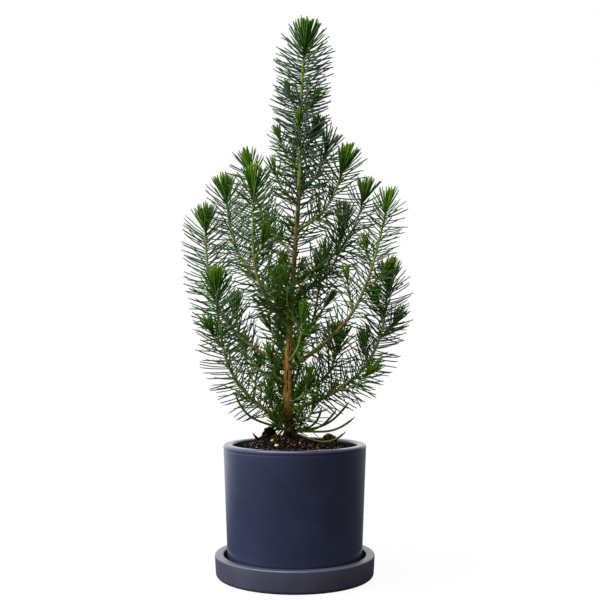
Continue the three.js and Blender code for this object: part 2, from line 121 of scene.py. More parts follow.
# The plates of its bark: width, how drawn out they are, the gap between them, and the same of its flakes
PLATES = {"width": 2.2, "drawn": 0.3, "gap": 0.22, "flake": 1.3, "flake_drawn": 0.5, "aged": (190, 330)}
# Metres between which its bark stops being old, turns green, and comes out of the painted shade that darkens
# its foot
BARK_HEIGHTS = {"old": (0.195, 0.25), "green": (0.33, 0.42), "foot": (0.15, 0.186)}
# The leader: its tip, where its needles start, how many of them stand between which heights, how far
# below the tip they end, how far they open, how much broader they are, and where they hide the wood
LEADER = {
    "tip": (10.2, 0, 523),
    "foot": 236,
    "share": (0.36, 1.0),
    "between": (300, 480),
    "crown": 5.0,
    "opening": 0.93,
    "broader": 0.12,
    "hidden": (340, 420),
}

# Limbs: foot height and bearing on the trunk, reach and rise of the bud, slope at the foot and at the
# bud, radius at the foot, and the share left bare
PULL, BUD_RADIUS, TAPER = 0.48, 0.75, 0.8
LIMBS = {
    "low_left": (146, 200, 74, 132, 30, 86, 2.3, 0.16),
    "low_right": (160, 357, 97, 127, 18, 88, 2.3, 0.16),
    "inner_right": (175, 40, 67, 52, 14, 80, 1.7, 0.18),
    "inner_left": (184, 157, 56, 78, 24, 86, 1.8, 0.16),
    "main_right": (201, 333, 104, 153, 30, 76, 2.4, 0.15),
    "back_left": (205, 161, 88, 141, 22, 90, 1.9, 0.22),
    "front_left": (245, 230, 53, 127, 26, 92, 2.0, 0.13),
    "mid_left": (265, 160, 70, 111, 32, 84, 1.9, 0.16),
    "back_right": (268, 44, 74, 84, 28, 84, 1.7, 0.2),
    "upper_right": (285, 26, 81, 90, 32, 72, 1.8, 0.16),
    "upper_left": (313, 152, 52, 90, 40, 74, 1.5, 0.16),
    "crest_right": (336, 345, 48, 62, 28, 70, 1.4, 0.16),
    "rear_low": (190, 96, 80, 100, 22, 84, 1.9, 0.18),
    "rear_low_left": (168, 130, 70, 52, 12, 80, 1.7, 0.2),
    "rear_low_right": (214, 64, 74, 92, 24, 84, 1.8, 0.2),
    "rear_mid": (252, 112, 66, 96, 28, 84, 1.7, 0.18),
    "rear_high": (318, 84, 46, 66, 34, 80, 1.4, 0.18),
}
# The collar at each stem's foot, in millimetres along it, and the grain and relief of its skin
COLLAR = {"length": 3, "fade": 3.5, "swell": 0.45, "step": 1.6}
SKIN_GRAIN, SKIN_RELIEF = 1.8, 0.16
# Skin of a stem: millimetres from the bud on which it is green and then tan, and from the foot on as bark
SKIN_AGES = {"green": 62, "tan": 112, "collar": 6}
BARK, TAN_SKIN, GREEN_SKIN = range(3)
# The ridge below a needle: depth of its root in the wood, reach down and up the stem, half-width
LEAF_BASE = {"sunk": 0.93, "tail": 3.0, "head": 0.9, "half": 0.42}
# Side twigs of the limbs: share of the limb, roll about it, length
TWIGS = {
    "low_left": [(0.66, -60, 20)],
    "low_right": [(0.3, -150, 44), (0.52, 80, 20), (0.68, -60, 24), (0.8, 100, 18)],
    "main_right": [(0.46, 105, 32), (0.6, -70, 28), (0.7, 80, 22)],
    "back_left": [(0.6, 180, 24)],
    "front_left": [(0.55, 20, 20)],
    "back_right": [(0.55, 10, 22)],
    "upper_right": [(0.45, 130, 18)],
    "rear_low": [(0.5, 10, 24), (0.62, 190, 22)],
    "rear_low_left": [(0.6, 170, 20)],
    "rear_low_right": [(0.55, 180, 22)],
    "rear_mid": [(0.55, 180, 22)],
}
# Short shoots, needled from the trunk out: the same sizes as a limb's, with no bare share
SHOOTS = {
    "foot_tuft": (143, 212, 15, 7, 6, 60, 1.0),
    "foot_left": (151, 180, 19, 25, 16, 86, 1.1),
    "foot_right": (149, 344, 24, 15, 10, 80, 1.1),
    "foot_front": (168, 322, 25, 22, 20, 76, 1.1),
    "foot_back": (160, 80, 24, 24, 10, 80, 1.1),
    "low_left": (186, 228, 24, 28, 20, 84, 1.2),
    "low_front": (207, 290, 40, 44, 26, 80, 1.3),
    "mid_front": (250, 262, 26, 36, 36, 84, 1.2),
    "left": (362, 212, 27, 31, 38, 72, 1.2),
    "back": (383, 100, 27, 36, 40, 76, 1.1),
    "right": (372, 28, 32, 50, 42, 74, 1.2),
    "top_left": (396, 188, 20, 31, 44, 72, 1.1),
    "top_front": (420, 268, 15, 18, 40, 70, 1.0),
    "top_right": (415, 35, 18, 21, 40, 70, 1.0),
    "crest_left": (458, 190, 11, 13, 40, 74, 0.9),
    "crest_right": (450, 350, 14, 14, 40, 70, 0.9),
}
# Needles of each kind of stem: how many times as long as a full one, how many times as far apart, and
# how full a tuft at the bud
KINDS = {
    "leader": (1.04, 0.56, 1.0),
    "limb": (0.96, 1.0, 1.0),
    "rear limb": (0.96, 1.0, 0.6),
    "side twig": (0.8, 1.55, 0.55),
    "shoot": (0.74, 1.25, 0.4),
    "crest shoot": (0.58, 1.25, 1.0),
}
# How far apart a limb's needles stand, by its side: at the plant's foot and at its crown, and the heights
# between which that changes
SPREAD = {"left": (0.94, 0.84), "right": (0.86, 1.3), "rear": (1.6, 3.0), "between": (190, 300)}
# Needles of a limb, its twigs or a shoot that differ from their neighbours': how many times as long, and
# as far apart
UNLIKE = {
    "inner_left": (0.85, 1.5),
    "back_left_twigs": (0.9, 1.1),
    "rear_low_left": (0.85, 2.0),
    "low_left": (1.0, 0.9),
    "main_right": (0.8, 1.05),
    "main_right_twigs": (0.78, 1.1),
    "upper_left": (0.93, 1.15),
    "back_right": (1.0, 0.85),
    "low_right": (0.96, 0.9),
    "left": (0.9, 1.3),
    "right": (1.3, 0.7),
    "top_right": (1.4, 0.8),
    "crest_right": (1.0, 0.75),
}
# Finer twigs of a limb: how far past its bare share they start, the share of it where they end, how far
# they stray from even steps, and their own bare share and needles
FINER = {"start": 0.1, "end": 0.42, "stray": 0.3, "bare": 0.12, "size": (0.5, 0.68), "spread": 1.1}
# Twigs on the trunk: heights and the step between them, bearing of the first, and the degrees either side
# of the viewer that are kept clear above `low`
BASAL = {"heights": (139, 300), "step": 2.8, "first": 40, "clear": 42, "low": 154}
BASAL |= {"rise": (5, 12), "slopes": (20, 70), "bare": 0.3, "size": (0.5, 0.66)}
TWIGLET = {"reach": (8, 15), "radii": (0.8, 0.5), "tuft": 0.2}
VIEWER = 270  # bearing of the viewer
# Heights between which needles leave the trunk's front in view
STRIP = {"low": 160, "high": 229, "half": 3.8}
LOWEST = SOIL["crown"] - 5  # the lowest that a needle reaches

# Long seed leaves at the trunk's foot: bearing, reach, rise, slope at foot and tip
SEED_LEAF_FOOT, SEED_LEAF_RADIUS = 139.5, 1.15
SEED_LEAVES = [
    (4, 31, 25, 8, 82),
    (358, 46, 23, 3, 55),
    (12, 60, 29, 7, 52),
    (350, 64, 16, 6, 42),
    (335, 59, 3, -12, 42),
    (196, 55, 39, 24, 70),
]

# How needles lean on a stem: millimetres below the bud, and degrees off the stem there
OPENING = ((0, 8), (2, 40), (6, 62), (10, 74), (16, 83), (70, 87))
# How far they stray: the angle round the stem, degrees of lean, the roll about themselves, the sideways
# bend, and the least and most of their bend towards the bud and of their length
STRAY = {"azimuth": 0.18, "lean": 6, "roll": 0.6, "sway": 0.035, "curl": (0.4, 1.4), "length": (0.9, 1.06)}
TUFT_DEPTH, FILL = 14, 16  # reach of the dense tuft below the bud, and of the young foot of a shoot
TUFT_PITCH, FOOT_LENGTH = 0.42, 0.72  # distance of needles in a tuft, and length at a stem's foot
SLENDER = 0.35  # breadth of a needle that is hardly any length
# Share of the needles left out where they face the viewer below the tuft, so that the stem shows
THINNED = {"share": 0.65, "square": (0.4, 0.95), "below": (8, 20)}
# Needles round the bud of a full tuft, the degrees that they fan out, and their length
CORE = {"number": 40, "fan": 36, "length": (0.78, 1.0)}
CUTS = (1, 0.86, 0.72, 0.58)  # lengths tried until one is clear of the wood
BLADE = ((0.0, 0.8), (0.16, 1.0), (0.5, 1.0), (0.85, 0.92), (0.97, 0.66))  # share along, share of width
BLOOM = {  # the waxy bloom on a needle of each tone
    "shade": (50, 80, 18),
    "blue": (94, 110, 86),
    "green": (70, 102, 28),
    "fresh": (84, 114, 26),
    "tip": (84, 114, 26),
}
TONES = tuple(BLOOM)
SHADE, BLUE, GREEN, FRESH, TIP = range(len(TONES))
# Where the tones are dealt: the inside of the crown by the distance from its axis, and heights between
# which the low, the deep and the shoots' fresh needles start or end
DEALT = {"inner": (20, 75), "low": (290, 450), "deep": (220, 300), "fresh": (145, 165)}
FRESH_LEAN, TIP_LEAN = 27, 18  # degrees off the stem within which a needle near the bud is fresh, or a tip
BUD_REACH = (9, 4)  # millimetres below a bud on which needles are fresh or green, and how far that strays
# Chances that a needle is green, more where it is low, and less of that outside; that it takes the dark shade
# tone, which is painted shade, more where it is deep in the crown; and that it is fresh on a low shoot
CHANCE = {"green": 0.1, "low": 0.85, "outside": 0.55, "shaded": 0.04, "deep": 0.28, "fresh": 0.4}
REGIONS = ("left", "right", "rear", "leader", "shoots")

# The photograph's frame, in pixels: its side, the focal length, the column of the axis, the horizon's row
PHOTO = {"side": 600, "focal": 920.0, "axis": 294.8, "horizon": 347.0}
# Shares of the crumbs: dark peat, brown peat, chips of bark, mineral, grit
CRUMB_SHARES = (0.44, 0.24, 0.14, 0.01, 0.17)
PEAT, BROWN_PEAT, CHIPS, MINERAL, GRIT = range(len(CRUMB_SHARES))
# Pale crumbs that show: place to the right, place towards the back, size
PALE_CRUMBS = ((-21.5, -23.5, 1.9), (-16.8, -33, 2.3), (-36, -20, 0.9), (22, -16, 1.1), (5, -26, 0.9))
CLOD = {"at": (34.5, 21), "lift": 4.6, "size": (8.0, 5.4, 5.2), "crumbs": 150}
CLUMP = {"centre": (-24.8, 1.0), "spread": 4.4, "rise": 8.5, "crumbs": 190}
HEAP = {"centre": (-6.0, -5.0), "spread": 5.5, "rise": 6.0, "crumbs": 260}
CHIP = {"foot": (-35.2, -5, 132), "tip": (-41.4, -5, 139.4), "radius": 1.4}

# The studio, in metres: the key light's direction and how many degrees across it is, and the softbox
KEY = {"way": (0.3, 0.12, -1.0), "spread": 50}
SOFTBOX = {"at": (-1.05, -0.4, 0.45), "aim": (0, 0, 0.2), "size": (0.9, 1.1)}
# The light from all round: everywhere, and more of it from behind, the left and above than the right
AROUND = {"base": 0.24, "behind": 0.56, "left": 0.46, "above": 0.5, "right": -0.12}
FLOOR_GLOW = 0.93
WHITE = (1.0, 1.0, 1.0, 1.0)


def unit(v):
    return v / np.linalg.norm(v, axis=-1, keepdims=True)


def lerp(a, b, share):
    return a + (b - a) * share


def smoothstep(value, low, high):
    share = np.clip((value - low) / (high - low), 0, 1)
    return share * share * (3 - 2 * share)


def around(number):
    return np.linspace(0, FULL_TURN, number, endpoint=False)


def turned(first, second, angle):
    return first * np.cos(angle)[..., None] + second * np.sin(angle)[..., None]


def linear(*shown):
    """A colour as light, from the 0 to 255 that a screen shows."""
    return tuple(c / 3294.6 if c < 10.3 else ((c / 255 + 0.055) / 1.055) ** 2.4 for c in shown)


class Path:
    """A smooth line through space, read by shares of its length, with a frame that doesn't spin."""

    def __init__(self, curve, samples=260):
        self.points = curve(np.linspace(0, 1, samples + 1)[:, None])
        steps = np.linalg.norm(np.diff(self.points, axis=0), axis=1)
        self.length = steps.sum()
        self.marks = np.concatenate([[0], np.cumsum(steps)]) / self.length
        self.ways = unit(np.gradient(self.points, axis=0))
        side = np.cross(UP, self.ways[0])
        side = side if np.linalg.norm(side) > 0.05 else np.array([1.0, 0.0, 0.0])
        sides = []
        for way in self.ways:
            side = unit(side - way * side.dot(way))
            sides.append(side)
        self.sides = np.array(sides)

    def read(self, rows, share):
        return np.stack([np.interp(share, self.marks, rows[:, k]) for k in range(3)], axis=-1)

    def at(self, share):
        return self.read(self.points, share)

    def axes(self, share):
        """The way along, and two directions square to it."""
        along = unit(self.read(self.ways, share))
        first = unit(self.read(self.sides, share))
        return along, first, np.cross(along, first)


def bezier(*knots):
    order = len(knots) - 1
    return lambda t: sum(math.comb(order, i) * (1 - t) ** (order - i) * t**i * k for i, k in enumerate(knots))


def upright(knots):
    """A curve through points, spaced by the root of their distances, as the source has its trunk."""
    points = np.array([2 * knots[0] - knots[1], *knots, 2 * knots[-1] - knots[-2]])
    gaps = np.sqrt(np.linalg.norm(np.diff(points, axis=0), axis=1))

    def curve(t):
        place = np.clip(t[:, 0] * (len(knots) - 1), 0, len(knots) - 1 - 1e-9)
        i = place.astype(int)
        s = (place - i)[:, None]
        a, b, c, d = (points[i + k] for k in range(4))
        before, here, after = (gaps[i + k][:, None] for k in range(3))
        leave = ((b - a) / before - (c - a) / (before + here) + (c - b) / here) * here
        arrive = ((c - b) / here - (d - b) / (here + after) + (d - c) / after) * here
        passed = 3 * s**2 - 2 * s**3
        return (1 - passed) * b + (s**3 - 2 * s**2 + s) * leave + passed * c + (s**3 - s**2) * arrive

    return curve


TRUNK_POINTS = [np.array([x, y, z], float) for z, x, y, _ in TRUNK_STATIONS]
TRUNK_PATH = Path(upright(TRUNK_POINTS), 600)
LEADER_PATH = Path(upright([*TRUNK_POINTS[:-1], np.array(LEADER["tip"], float)]), 600)
TRUNK_LINE = TRUNK_PATH.points[:, 2], TRUNK_PATH.points[:, 0]
TRUNK_FOOT, TRUNK_TOP = TRUNK_STATIONS[0][0], TRUNK_STATIONS[-1][0]


def trunk_share(height, path=TRUNK_PATH):
    return np.interp(height, path.points[:, 2], path.marks)


def trunk_radius(height):
    heights, _, _, radii = np.array(TRUNK_STATIONS).T
    flare = np.clip(1 - (height - TRUNK_FOOT) / FLARE["height"], 0, 1)
    return np.interp(height, heights, radii) + FLARE["wider"] * flare**2


def limb_path(height, bearing, reach, rise, foot_slope, bud_slope):
    """A limb rises in one upright plane from the trunk's axis to its bud."""
    foot = TRUNK_PATH.at(trunk_share(height))
    bearing, start, end = (math.radians(a) for a in (bearing, foot_slope, bud_slope))
    out = np.array([math.cos(bearing), math.sin(bearing), 0])
    pull = PULL * math.hypot(reach, rise)

    def at(r, z):
        return foot + out * r + UP * z

    first = at(pull * math.cos(start), pull * math.sin(start))
    last = at(reach - pull * math.cos(end), rise - pull * math.sin(end))
    return Path(bezier(foot, first, last, at(reach, rise)))


def twig_path(limb, share, roll, length):
    """A side twig leaves its limb at half a right angle and turns upwards at its knee."""
    foot, along = limb.at(share), limb.axes(share)[0]
    level = unit(np.cross(UP, along))
    inward = np.cross(along, level)
    roll = math.radians(roll)
    start = unit(along + level * math.cos(roll) + inward * math.sin(roll))
    finish = unit(start + UP)
    knee = foot + start * length / 2
    return Path(bezier(foot, knee, knee + finish * length / 2), 40)


@dataclass
class Stem:
    """A stem with its needles: its path, its radius by share, and the share that it leaves bare. Its
    needles are `size` times as long and `spread` times as far apart, end `crown` below the bud, and
    lean by `opening` times what OPENING says. `tuft` is 1 for a full brush at the bud and 0 for none.
    `order` is 0 for the leader, 1 for a limb, 2 for a side twig or shoot and 3 for a finer twig.
    """

    path: Path
    radius: Callable
    bare: float = 0.0
    region: str = "shoots"
    order: int = 3
    size: float = 1.0
    spread: float = 1.0
    crown: float = 3.0
    opening: float = 0.83
    tuft: float = 1.0


def tapering(foot, bud=BUD_RADIUS):
    return lambda share: lerp(foot, bud, np.asarray(share, float) ** TAPER)


def region_of(name):
    for region in ("rear", "left", "right"):
        if region in name:
            return region
    raise ValueError(f"limb {name} has no side")


def finer_twigs(limb, needles, random):
    """Short twigs between a limb's own, by a seeded rule, inside the reach of its needles."""
    path = limb.path
    step = needles.twig_spacing / MM / path.length
    shares = np.arange(limb.bare + FINER["start"], FINER["end"], step)
    rolls = np.degrees(GOLDEN_ANGLE * np.arange(len(shares)) + random.uniform(0, FULL_TURN))
    for share, roll, reach in zip(shares, rolls, random.uniform(*TWIGLET["reach"], len(shares))):
        stray = random.uniform(-FINER["stray"], FINER["stray"])
        twig = Stem(twig_path(path, share + stray * step, roll, reach), tapering(*TWIGLET["radii"]))
        twig.bare, twig.region = FINER["bare"], limb.region
        twig.size, twig.spread, twig.tuft = random.uniform(*FINER["size"]), FINER["spread"], TWIGLET["tuft"]
        yield twig


def basal_twigs(random):
    """Short twigs on the trunk's lower part, by a seeded rule, but for a strip that faces the viewer."""
    for i, height in enumerate(np.arange(*BASAL["heights"], BASAL["step"])):
        bearing = (math.degrees(GOLDEN_ANGLE) * i + BASAL["first"]) % 360
        if abs(bearing - VIEWER) < BASAL["clear"] and height > BASAL["low"]:
            continue
        reach, rise = random.uniform(*TWIGLET["reach"]), random.uniform(*BASAL["rise"])
        path = limb_path(height, bearing, reach, rise, *BASAL["slopes"])
        twig = Stem(path, tapering(*TWIGLET["radii"]), BASAL["bare"])
        twig.size, twig.tuft = random.uniform(*BASAL["size"]), TWIGLET["tuft"]
        yield twig


def grow_stem(kind, name, path, thick, bare, region, spread=1.0):
    """A stem of one kind, with what sets its needles apart from its neighbours'."""
    size, apart, tuft = KINDS[kind]
    longer, wider = UNLIKE.get(name, (1, 1))
    order = 1 if "limb" in kind else 2
    stem = Stem(path, tapering(thick), bare, region, order, size * longer, apart * spread * wider)
    stem.tuft = tuft
    return stem


def grow_stems(needles):
    """Every needled stem of the plant but the leader: limbs, side twigs, short shoots and finer twigs."""
    random = np.random.default_rng(5)
    stems = []
    for name, (*shape, thick, bare) in LIMBS.items():
        region = region_of(name)
        spread = lerp(*SPREAD[region], smoothstep(shape[0], *SPREAD["between"]))
        kind = "rear limb" if region == "rear" else "limb"
        limb = grow_stem(kind, name, limb_path(*shape), thick, bare, region, spread)
        stems.append(limb)
        for row in TWIGS.get(name, []):
            path = twig_path(limb.path, *row)
            stems.append(grow_stem("side twig", f"{name}_twigs", path, 1.0, 0.08, region, spread))
        stems.extend(finer_twigs(limb, needles, random))
    stems.extend(basal_twigs(random))
    for name, (*shape, thick) in SHOOTS.items():
        kind = "crest shoot" if name.startswith(("top", "crest")) else "shoot"
        stems.append(grow_stem(kind, name, limb_path(*shape), thick, 0.06, "shoots"))
    return stems


def leader_stem():
    def radius(share):
        height = LEADER_PATH.at(share)[..., 2]
        over = np.clip((height - TRUNK_TOP) / (LEADER["tip"][2] - TRUNK_TOP), 0, 1)
        top = lerp(TRUNK_STATIONS[-1][3], BUD_RADIUS, over)
        return np.where(height < TRUNK_TOP, trunk_radius(height), top)

    size, spread, tuft = KINDS["leader"]
    bare = trunk_share(LEADER["foot"], LEADER_PATH)
    return Stem(
        LEADER_PATH, radius, bare, "leader", 0, size, spread, LEADER["crown"], LEADER["opening"], tuft
    )


class WoodSpace:
    """The space of trunk and stems, which needles keep out of."""

    def __init__(self, stems, spacing=1.2):
        places, self.radii = [], []
        for stem in [leader_stem(), *stems]:
            start = 0 if stem.order == 0 else 0.02
            shares = np.linspace(start, 1, max(3, round(stem.path.length / spacing)))
            places.extend(stem.path.at(shares))
            self.radii.extend(stem.radius(shares))
        self.tree = KDTree(len(places))
        for i, place in enumerate(places):
            self.tree.insert(place, i)
        self.tree.balance()

    def is_free(self, point, apart=0.25):
        _, index, distance = self.tree.find(point)
        if distance < self.radii[index] + apart or point[2] < LOWEST:
            return False
        beside = abs(point[0] - np.interp(point[2], *TRUNK_LINE))
        return point[1] > 0 or beside > STRIP["half"] or not STRIP["low"] < point[2] < STRIP["high"]


def put(name, data):
    """Adds an object to the scene."""
    thing = bpy.data.objects.new(name, data)
    bpy.context.scene.collection.objects.link(thing)
    return thing


class Skin:
    """Points and triangles for one joined mesh, each triangle with its finish."""

    def __init__(self):
        self.points, self.triangles, self.finishes, self.count = [], [], [], 0

    def add(self, points, triangles, finish=0):
        self.points.append(np.asarray(points, float).reshape(-1, 3))
        self.triangles.append(np.asarray(triangles).reshape(-1, 3) + self.count)
        self.finishes.append(np.broadcast_to(finish, len(self.triangles[-1])))
        self.count += len(self.points[-1])

    def build(self, name, materials, smooth=True):
        points = np.concatenate(self.points) * MM
        corners = np.concatenate(self.triangles)
        mesh = bpy.data.meshes.new(name)
        mesh.vertices.add(len(points))
        mesh.vertices.foreach_set("co", points.astype(np.float32).ravel())
        mesh.loops.add(corners.size)
        mesh.loops.foreach_set("vertex_index", corners.astype(np.int32).ravel())
        mesh.polygons.add(len(corners))
        mesh.polygons.foreach_set("loop_start", np.arange(0, corners.size, 3, dtype=np.int32))
        for material in materials:
            mesh.materials.append(material)
        mesh.polygons.foreach_set("material_index", np.concatenate(self.finishes).astype(np.int32))
        mesh.update(calc_edges=True)
        if smooth:
            mesh.shade_smooth()
        piece = put(name, mesh)
        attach(piece, "root")
        return piece


def grid_triangles(rows, columns):
    """Triangles between closed rows of points, wound to face out where a row runs anticlockwise."""
    i, k = np.meshgrid(np.arange(rows - 1), np.arange(columns), indexing="ij")
    after = (k + 1) % columns
    a, b, c, d = i * columns + k, i * columns + after, (i + 1) * columns + after, (i + 1) * columns + k
    return np.stack([a, b, c, a, c, d], axis=-1).reshape(-1, 3)


def capped(rings):
    """Points and triangles of a closed tube through rings of points."""
    rows, columns = rings.shape[:2]
    k = np.arange(columns)
    foot, top, last = rows * columns, rows * columns + 1, (rows - 1) * columns
    points = np.concatenate([rings.reshape(-1, 3), rings[0].mean(0)[None], rings[-1].mean(0)[None]])
    foot_cap = np.stack([(k + 1) % columns, k, np.full(columns, foot)], axis=-1)
    top_cap = np.stack([last + k, last + (k + 1) % columns, np.full(columns, top)], axis=-1)
    return points, np.concatenate([grid_triangles(rows, columns), foot_cap, top_cap])


def ring_points(path, shares, radii, sides):
    """Rings round a path. `radii` has a row for each ring, with one radius or one for each side."""
    _, first, second = path.axes(shares)
    out = turned(first[:, None], second[:, None], np.broadcast_to(around(sides), (len(shares), sides)))
    return path.at(shares)[:, None] + out * np.asarray(radii).reshape(len(shares), -1, 1)


class Value:
    """An output in a material's node tree. Arithmetic on it adds Math nodes."""

    def __init__(self, shader, socket):
        self.shader, self.socket = shader, socket

    def math(self, operation, first, second):
        return self.shader.node("ShaderNodeMath", {"operation": operation}, [first, second])

    def __add__(self, other):
        return self.math("ADD", self, other)

    def __sub__(self, other):
        return self.math("SUBTRACT", self, other)

    def __rsub__(self, other):
        return self.math("SUBTRACT", other, self)

    def __mul__(self, other):
        return self.math("MULTIPLY", self, other)

    __radd__, __rmul__ = __add__, __mul__


class Shader:
    """A material, built from expressions on the values of its nodes."""

    def __init__(self, name, tree=None):
        if tree is None:
            self.material = bpy.data.materials.new(name)
            self.material.use_nodes = True
            tree = self.material.node_tree
        self.tree = tree
        self.tree.nodes.clear()

    def node(self, kind, settings, inputs=(), output=0):
        """Adds a node: its settings first, then the values or links of its sockets, by name or in order."""
        node = self.tree.nodes.new(kind)
        for key, setting in settings.items():
            setattr(node, key, setting)
        for key, value in inputs.items() if isinstance(inputs, dict) else enumerate(inputs):
            if isinstance(value, Value):
                self.tree.links.new(value.socket, node.inputs[key])
            else:
                node.inputs[key].default_value = value
        return Value(self, node.outputs[output] if node.outputs else None)

    def place(self):
        return self.node("ShaderNodeTexCoord", {}, output=3)

    def axis(self, index, vector=None):
        """One coordinate of a place: 0 to the right, 1 towards the back, 2 upwards."""
        return self.node("ShaderNodeSeparateXYZ", {}, [vector or self.place()], index)

    def grain(self, scale, detail=3.0, vector=None):
        sockets = {"Vector": vector or self.place(), "Scale": scale, "Detail": detail, "Roughness": 0.6}
        return self.node("ShaderNodeTexNoise", {}, sockets)

    def streaks(self, scale, detail=3.0):
        """Grain that is drawn out, by its own scale along each axis."""
        drawn = self.node("ShaderNodeVectorMath", {"operation": "MULTIPLY"}, [self.place(), scale])
        return self.grain(1.0, detail, drawn)

    def ramp(self, value, low, high):
        """From 0 to 1 as a value passes from low to high."""
        sockets = {0: value, 1: low, 2: high}
        return self.node("ShaderNodeMapRange", {"interpolation_type": "SMOOTHSTEP"}, sockets)

    def blend(self, share, first, second):
        """A mix of two colours, each given as three numbers or a value."""
        first, second = (c if isinstance(c, Value) else (*c, 1.0) for c in (first, second))
        return self.node("ShaderNodeMix", {"data_type": "RGBA"}, {0: share, 6: first, 7: second}, 2)

    def bump(self, height, depth, strength=1.0):
        """Relief of a height from 0 to 1 that stands `depth` millimetres proud."""
        sockets = {"Strength": strength, "Distance": depth * MM, "Height": height}
        return self.node("ShaderNodeBump", {}, sockets)

    def surface(self, **sockets):
        """Ends the material in a Principled shader. Underscores in a name stand for spaces."""
        inputs = {key.replace("_", " "): value for key, value in sockets.items()}
        self.end(self.node("ShaderNodeBsdfPrincipled", {}, inputs))
        return self.material

    def end(self, shader, kind="ShaderNodeOutputMaterial"):
        self.node(kind, {}, [shader])


def glaze(name, light, dark, gloss):
    """Satin glaze: slate blue, clouded and finely freckled."""
    shader = Shader(name)
    clouds = shader.ramp(shader.grain(14.0, 4.0), 0.38, 0.66)
    freckles = shader.ramp(shader.grain(420.0, 2.0), 0.52, 0.74)
    colour = shader.blend(clouds, dark, light)
    colour = shader.blend(freckles * 0.22, colour, linear(52, 56, 76))
    roughness = gloss + 0.06 * shader.grain(60.0)
    normal = shader.bump(shader.grain(110.0, 2.0), 0.02, 0.4)
    return shader.surface(Base_Color=colour, Roughness=roughness, Normal=normal, Specular_IOR_Level=0.55)


def bark(name, young, old, crevice):
    """Flaking bark of the trunk: orange-brown and plated at the foot, tan and then green above, and darkened
    to near black at its very foot, which is painted shade.
    """
    shader = Shader(name)
    height = shader.axis(2)
    wander = 0.05 * (shader.grain(30.0) - 0.5)
    aged = 1.0 - shader.ramp(height + wander, *BARK_HEIGHTS["old"])
    green = shader.ramp(height + wander, *BARK_HEIGHTS["green"])
    plates = shader.streaks((420.0, 420.0, 150.0), 5.0)
    flakes = shader.ramp(plates, 0.4, 0.62)
    streaks = shader.ramp(shader.streaks((900.0, 900.0, 90.0)), 0.35, 0.7)
    # Mask of the painted shade at the trunk's foot, where the needles round it shade it
    foot = shader.ramp(height + 0.3 * wander, *BARK_HEIGHTS["foot"])
    knots = shader.ramp(shader.streaks((640.0, 640.0, 460.0), 2.0), 0.54, 0.64)
    upper = shader.blend(green, linear(108, 94, 54), young)
    colour = shader.blend(aged, upper, old)
    colour = shader.blend(flakes * (0.1 + 0.4 * aged), colour, linear(240, 204, 130))
    colour = shader.blend((1.0 - flakes) * streaks * (0.15 + 0.35 * aged), colour, crevice)
    colour = shader.blend(knots * (0.25 + 0.4 * aged), colour, crevice)
    # Painted shade: the trunk's foot turns near black
    colour = shader.blend(foot * 0.95 + 0.05, linear(20, 13, 8), colour)
    normal = shader.bump(plates + 0.4 * streaks, 0.6, 1.0)
    return shader.surface(Base_Color=colour, Roughness=0.82, Normal=normal, Specular_IOR_Level=0.3)


def stem_skin(name, shade, pale):
    """Skin of a limb or twig: one colour, with a paler mottle drawn out along it."""
    shader = Shader(name)
    mottle = shader.ramp(shader.streaks((700.0, 700.0, 240.0)), 0.35, 0.7)
    colour, normal = shader.blend(mottle, shade, pale), shader.bump(mottle, 0.15, 0.6)
    return shader.surface(Base_Color=colour, Roughness=0.62, Normal=normal, Specular_IOR_Level=0.35)


def needle_skin(name, shade, bloom):
    """A needle: its own green with a thin waxy bloom."""
    shader = Shader(name)
    wax = shader.ramp(shader.grain(260.0, 2.0), 0.4, 0.75)
    colour = shader.blend(wax * 0.4, shade, bloom)
    return shader.surface(Base_Color=colour, Roughness=0.46 + 0.2 * wax, Specular_IOR_Level=0.14)


def earth(name, shade, pale, roughness=0.95):
    """Grains of peat, bark or mineral: rough, and finely speckled."""
    shader = Shader(name)
    crumbs = shader.ramp(shader.grain(900.0, 3.0), 0.42, 0.7)
    normal = shader.bump(shader.grain(700.0, 4.0), 0.5)
    colour = shader.blend(crumbs, shade, pale)
    return shader.surface(Base_Color=colour, Roughness=roughness, Normal=normal, Specular_IOR_Level=0.06)


def arc(r, z, radius, start, end, steps):
    """Part of a circle in a profile, from one angle to another."""
    angles = np.radians(np.linspace(start, end, steps + 1))
    return list(zip(r + radius * np.cos(angles), z + radius * np.sin(angles)))


def turn_profile(skin, profile, facets):
    """Turns a closed profile of radius and height about the pot's axis."""
    radii, heights = (row[:, None] for row in np.array(profile)[1:-1].T)
    angles = around(facets)
    level = heights + np.zeros(facets)
    skin.add(*capped(np.stack([radii * np.cos(angles), radii * np.sin(angles), level], axis=-1)))


def length(name, millimetres, description):
    settings = {"min": 0.0, "precision": 5, "subtype": "DISTANCE", "unit": "LENGTH"}
    return bpy.props.FloatProperty(name=name, description=description, default=millimetres * MM, **settings)


def amount(name, default, description, low=0.0, high=1.0):
    return bpy.props.FloatProperty(name=name, description=description, default=default, min=low, max=high)


def count(name, default, description):
    return bpy.props.IntProperty(name=name, description=description, default=default, min=3)


def colour(name, shown, description):
    return bpy.props.FloatVectorProperty(
        name=name, description=description, default=linear(*shown), size=3, min=0.0, max=1.0, subtype="COLOR"
    )


class PineVesselSettings(bpy.types.PropertyGroup):
    """Pot and saucer."""

    rim_radius: length("Rim radius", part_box("pot")[1].x / MM, "Outer radius of the pot's rim")
    saucer_radius: length("Saucer radius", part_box("saucer")[1].x / MM, "Outer radius of the saucer's rim")
    facets: count("Facets", 192, "Sides of the turned pot and saucer")
    glaze_light: colour("Glaze", (37, 43, 66), "Slate blue of the pot")
    glaze_dark: colour("Glaze, darker", (31, 36, 57), "Clouds in the pot's glaze")
    saucer_light: colour("Saucer", (61, 61, 77), "Greyer slate of the saucer")
    saucer_dark: colour("Saucer, darker", (52, 51, 66), "Clouds in the saucer's glaze")
    gloss: amount("Roughness", 0.22, "Roughness of the satin glaze")


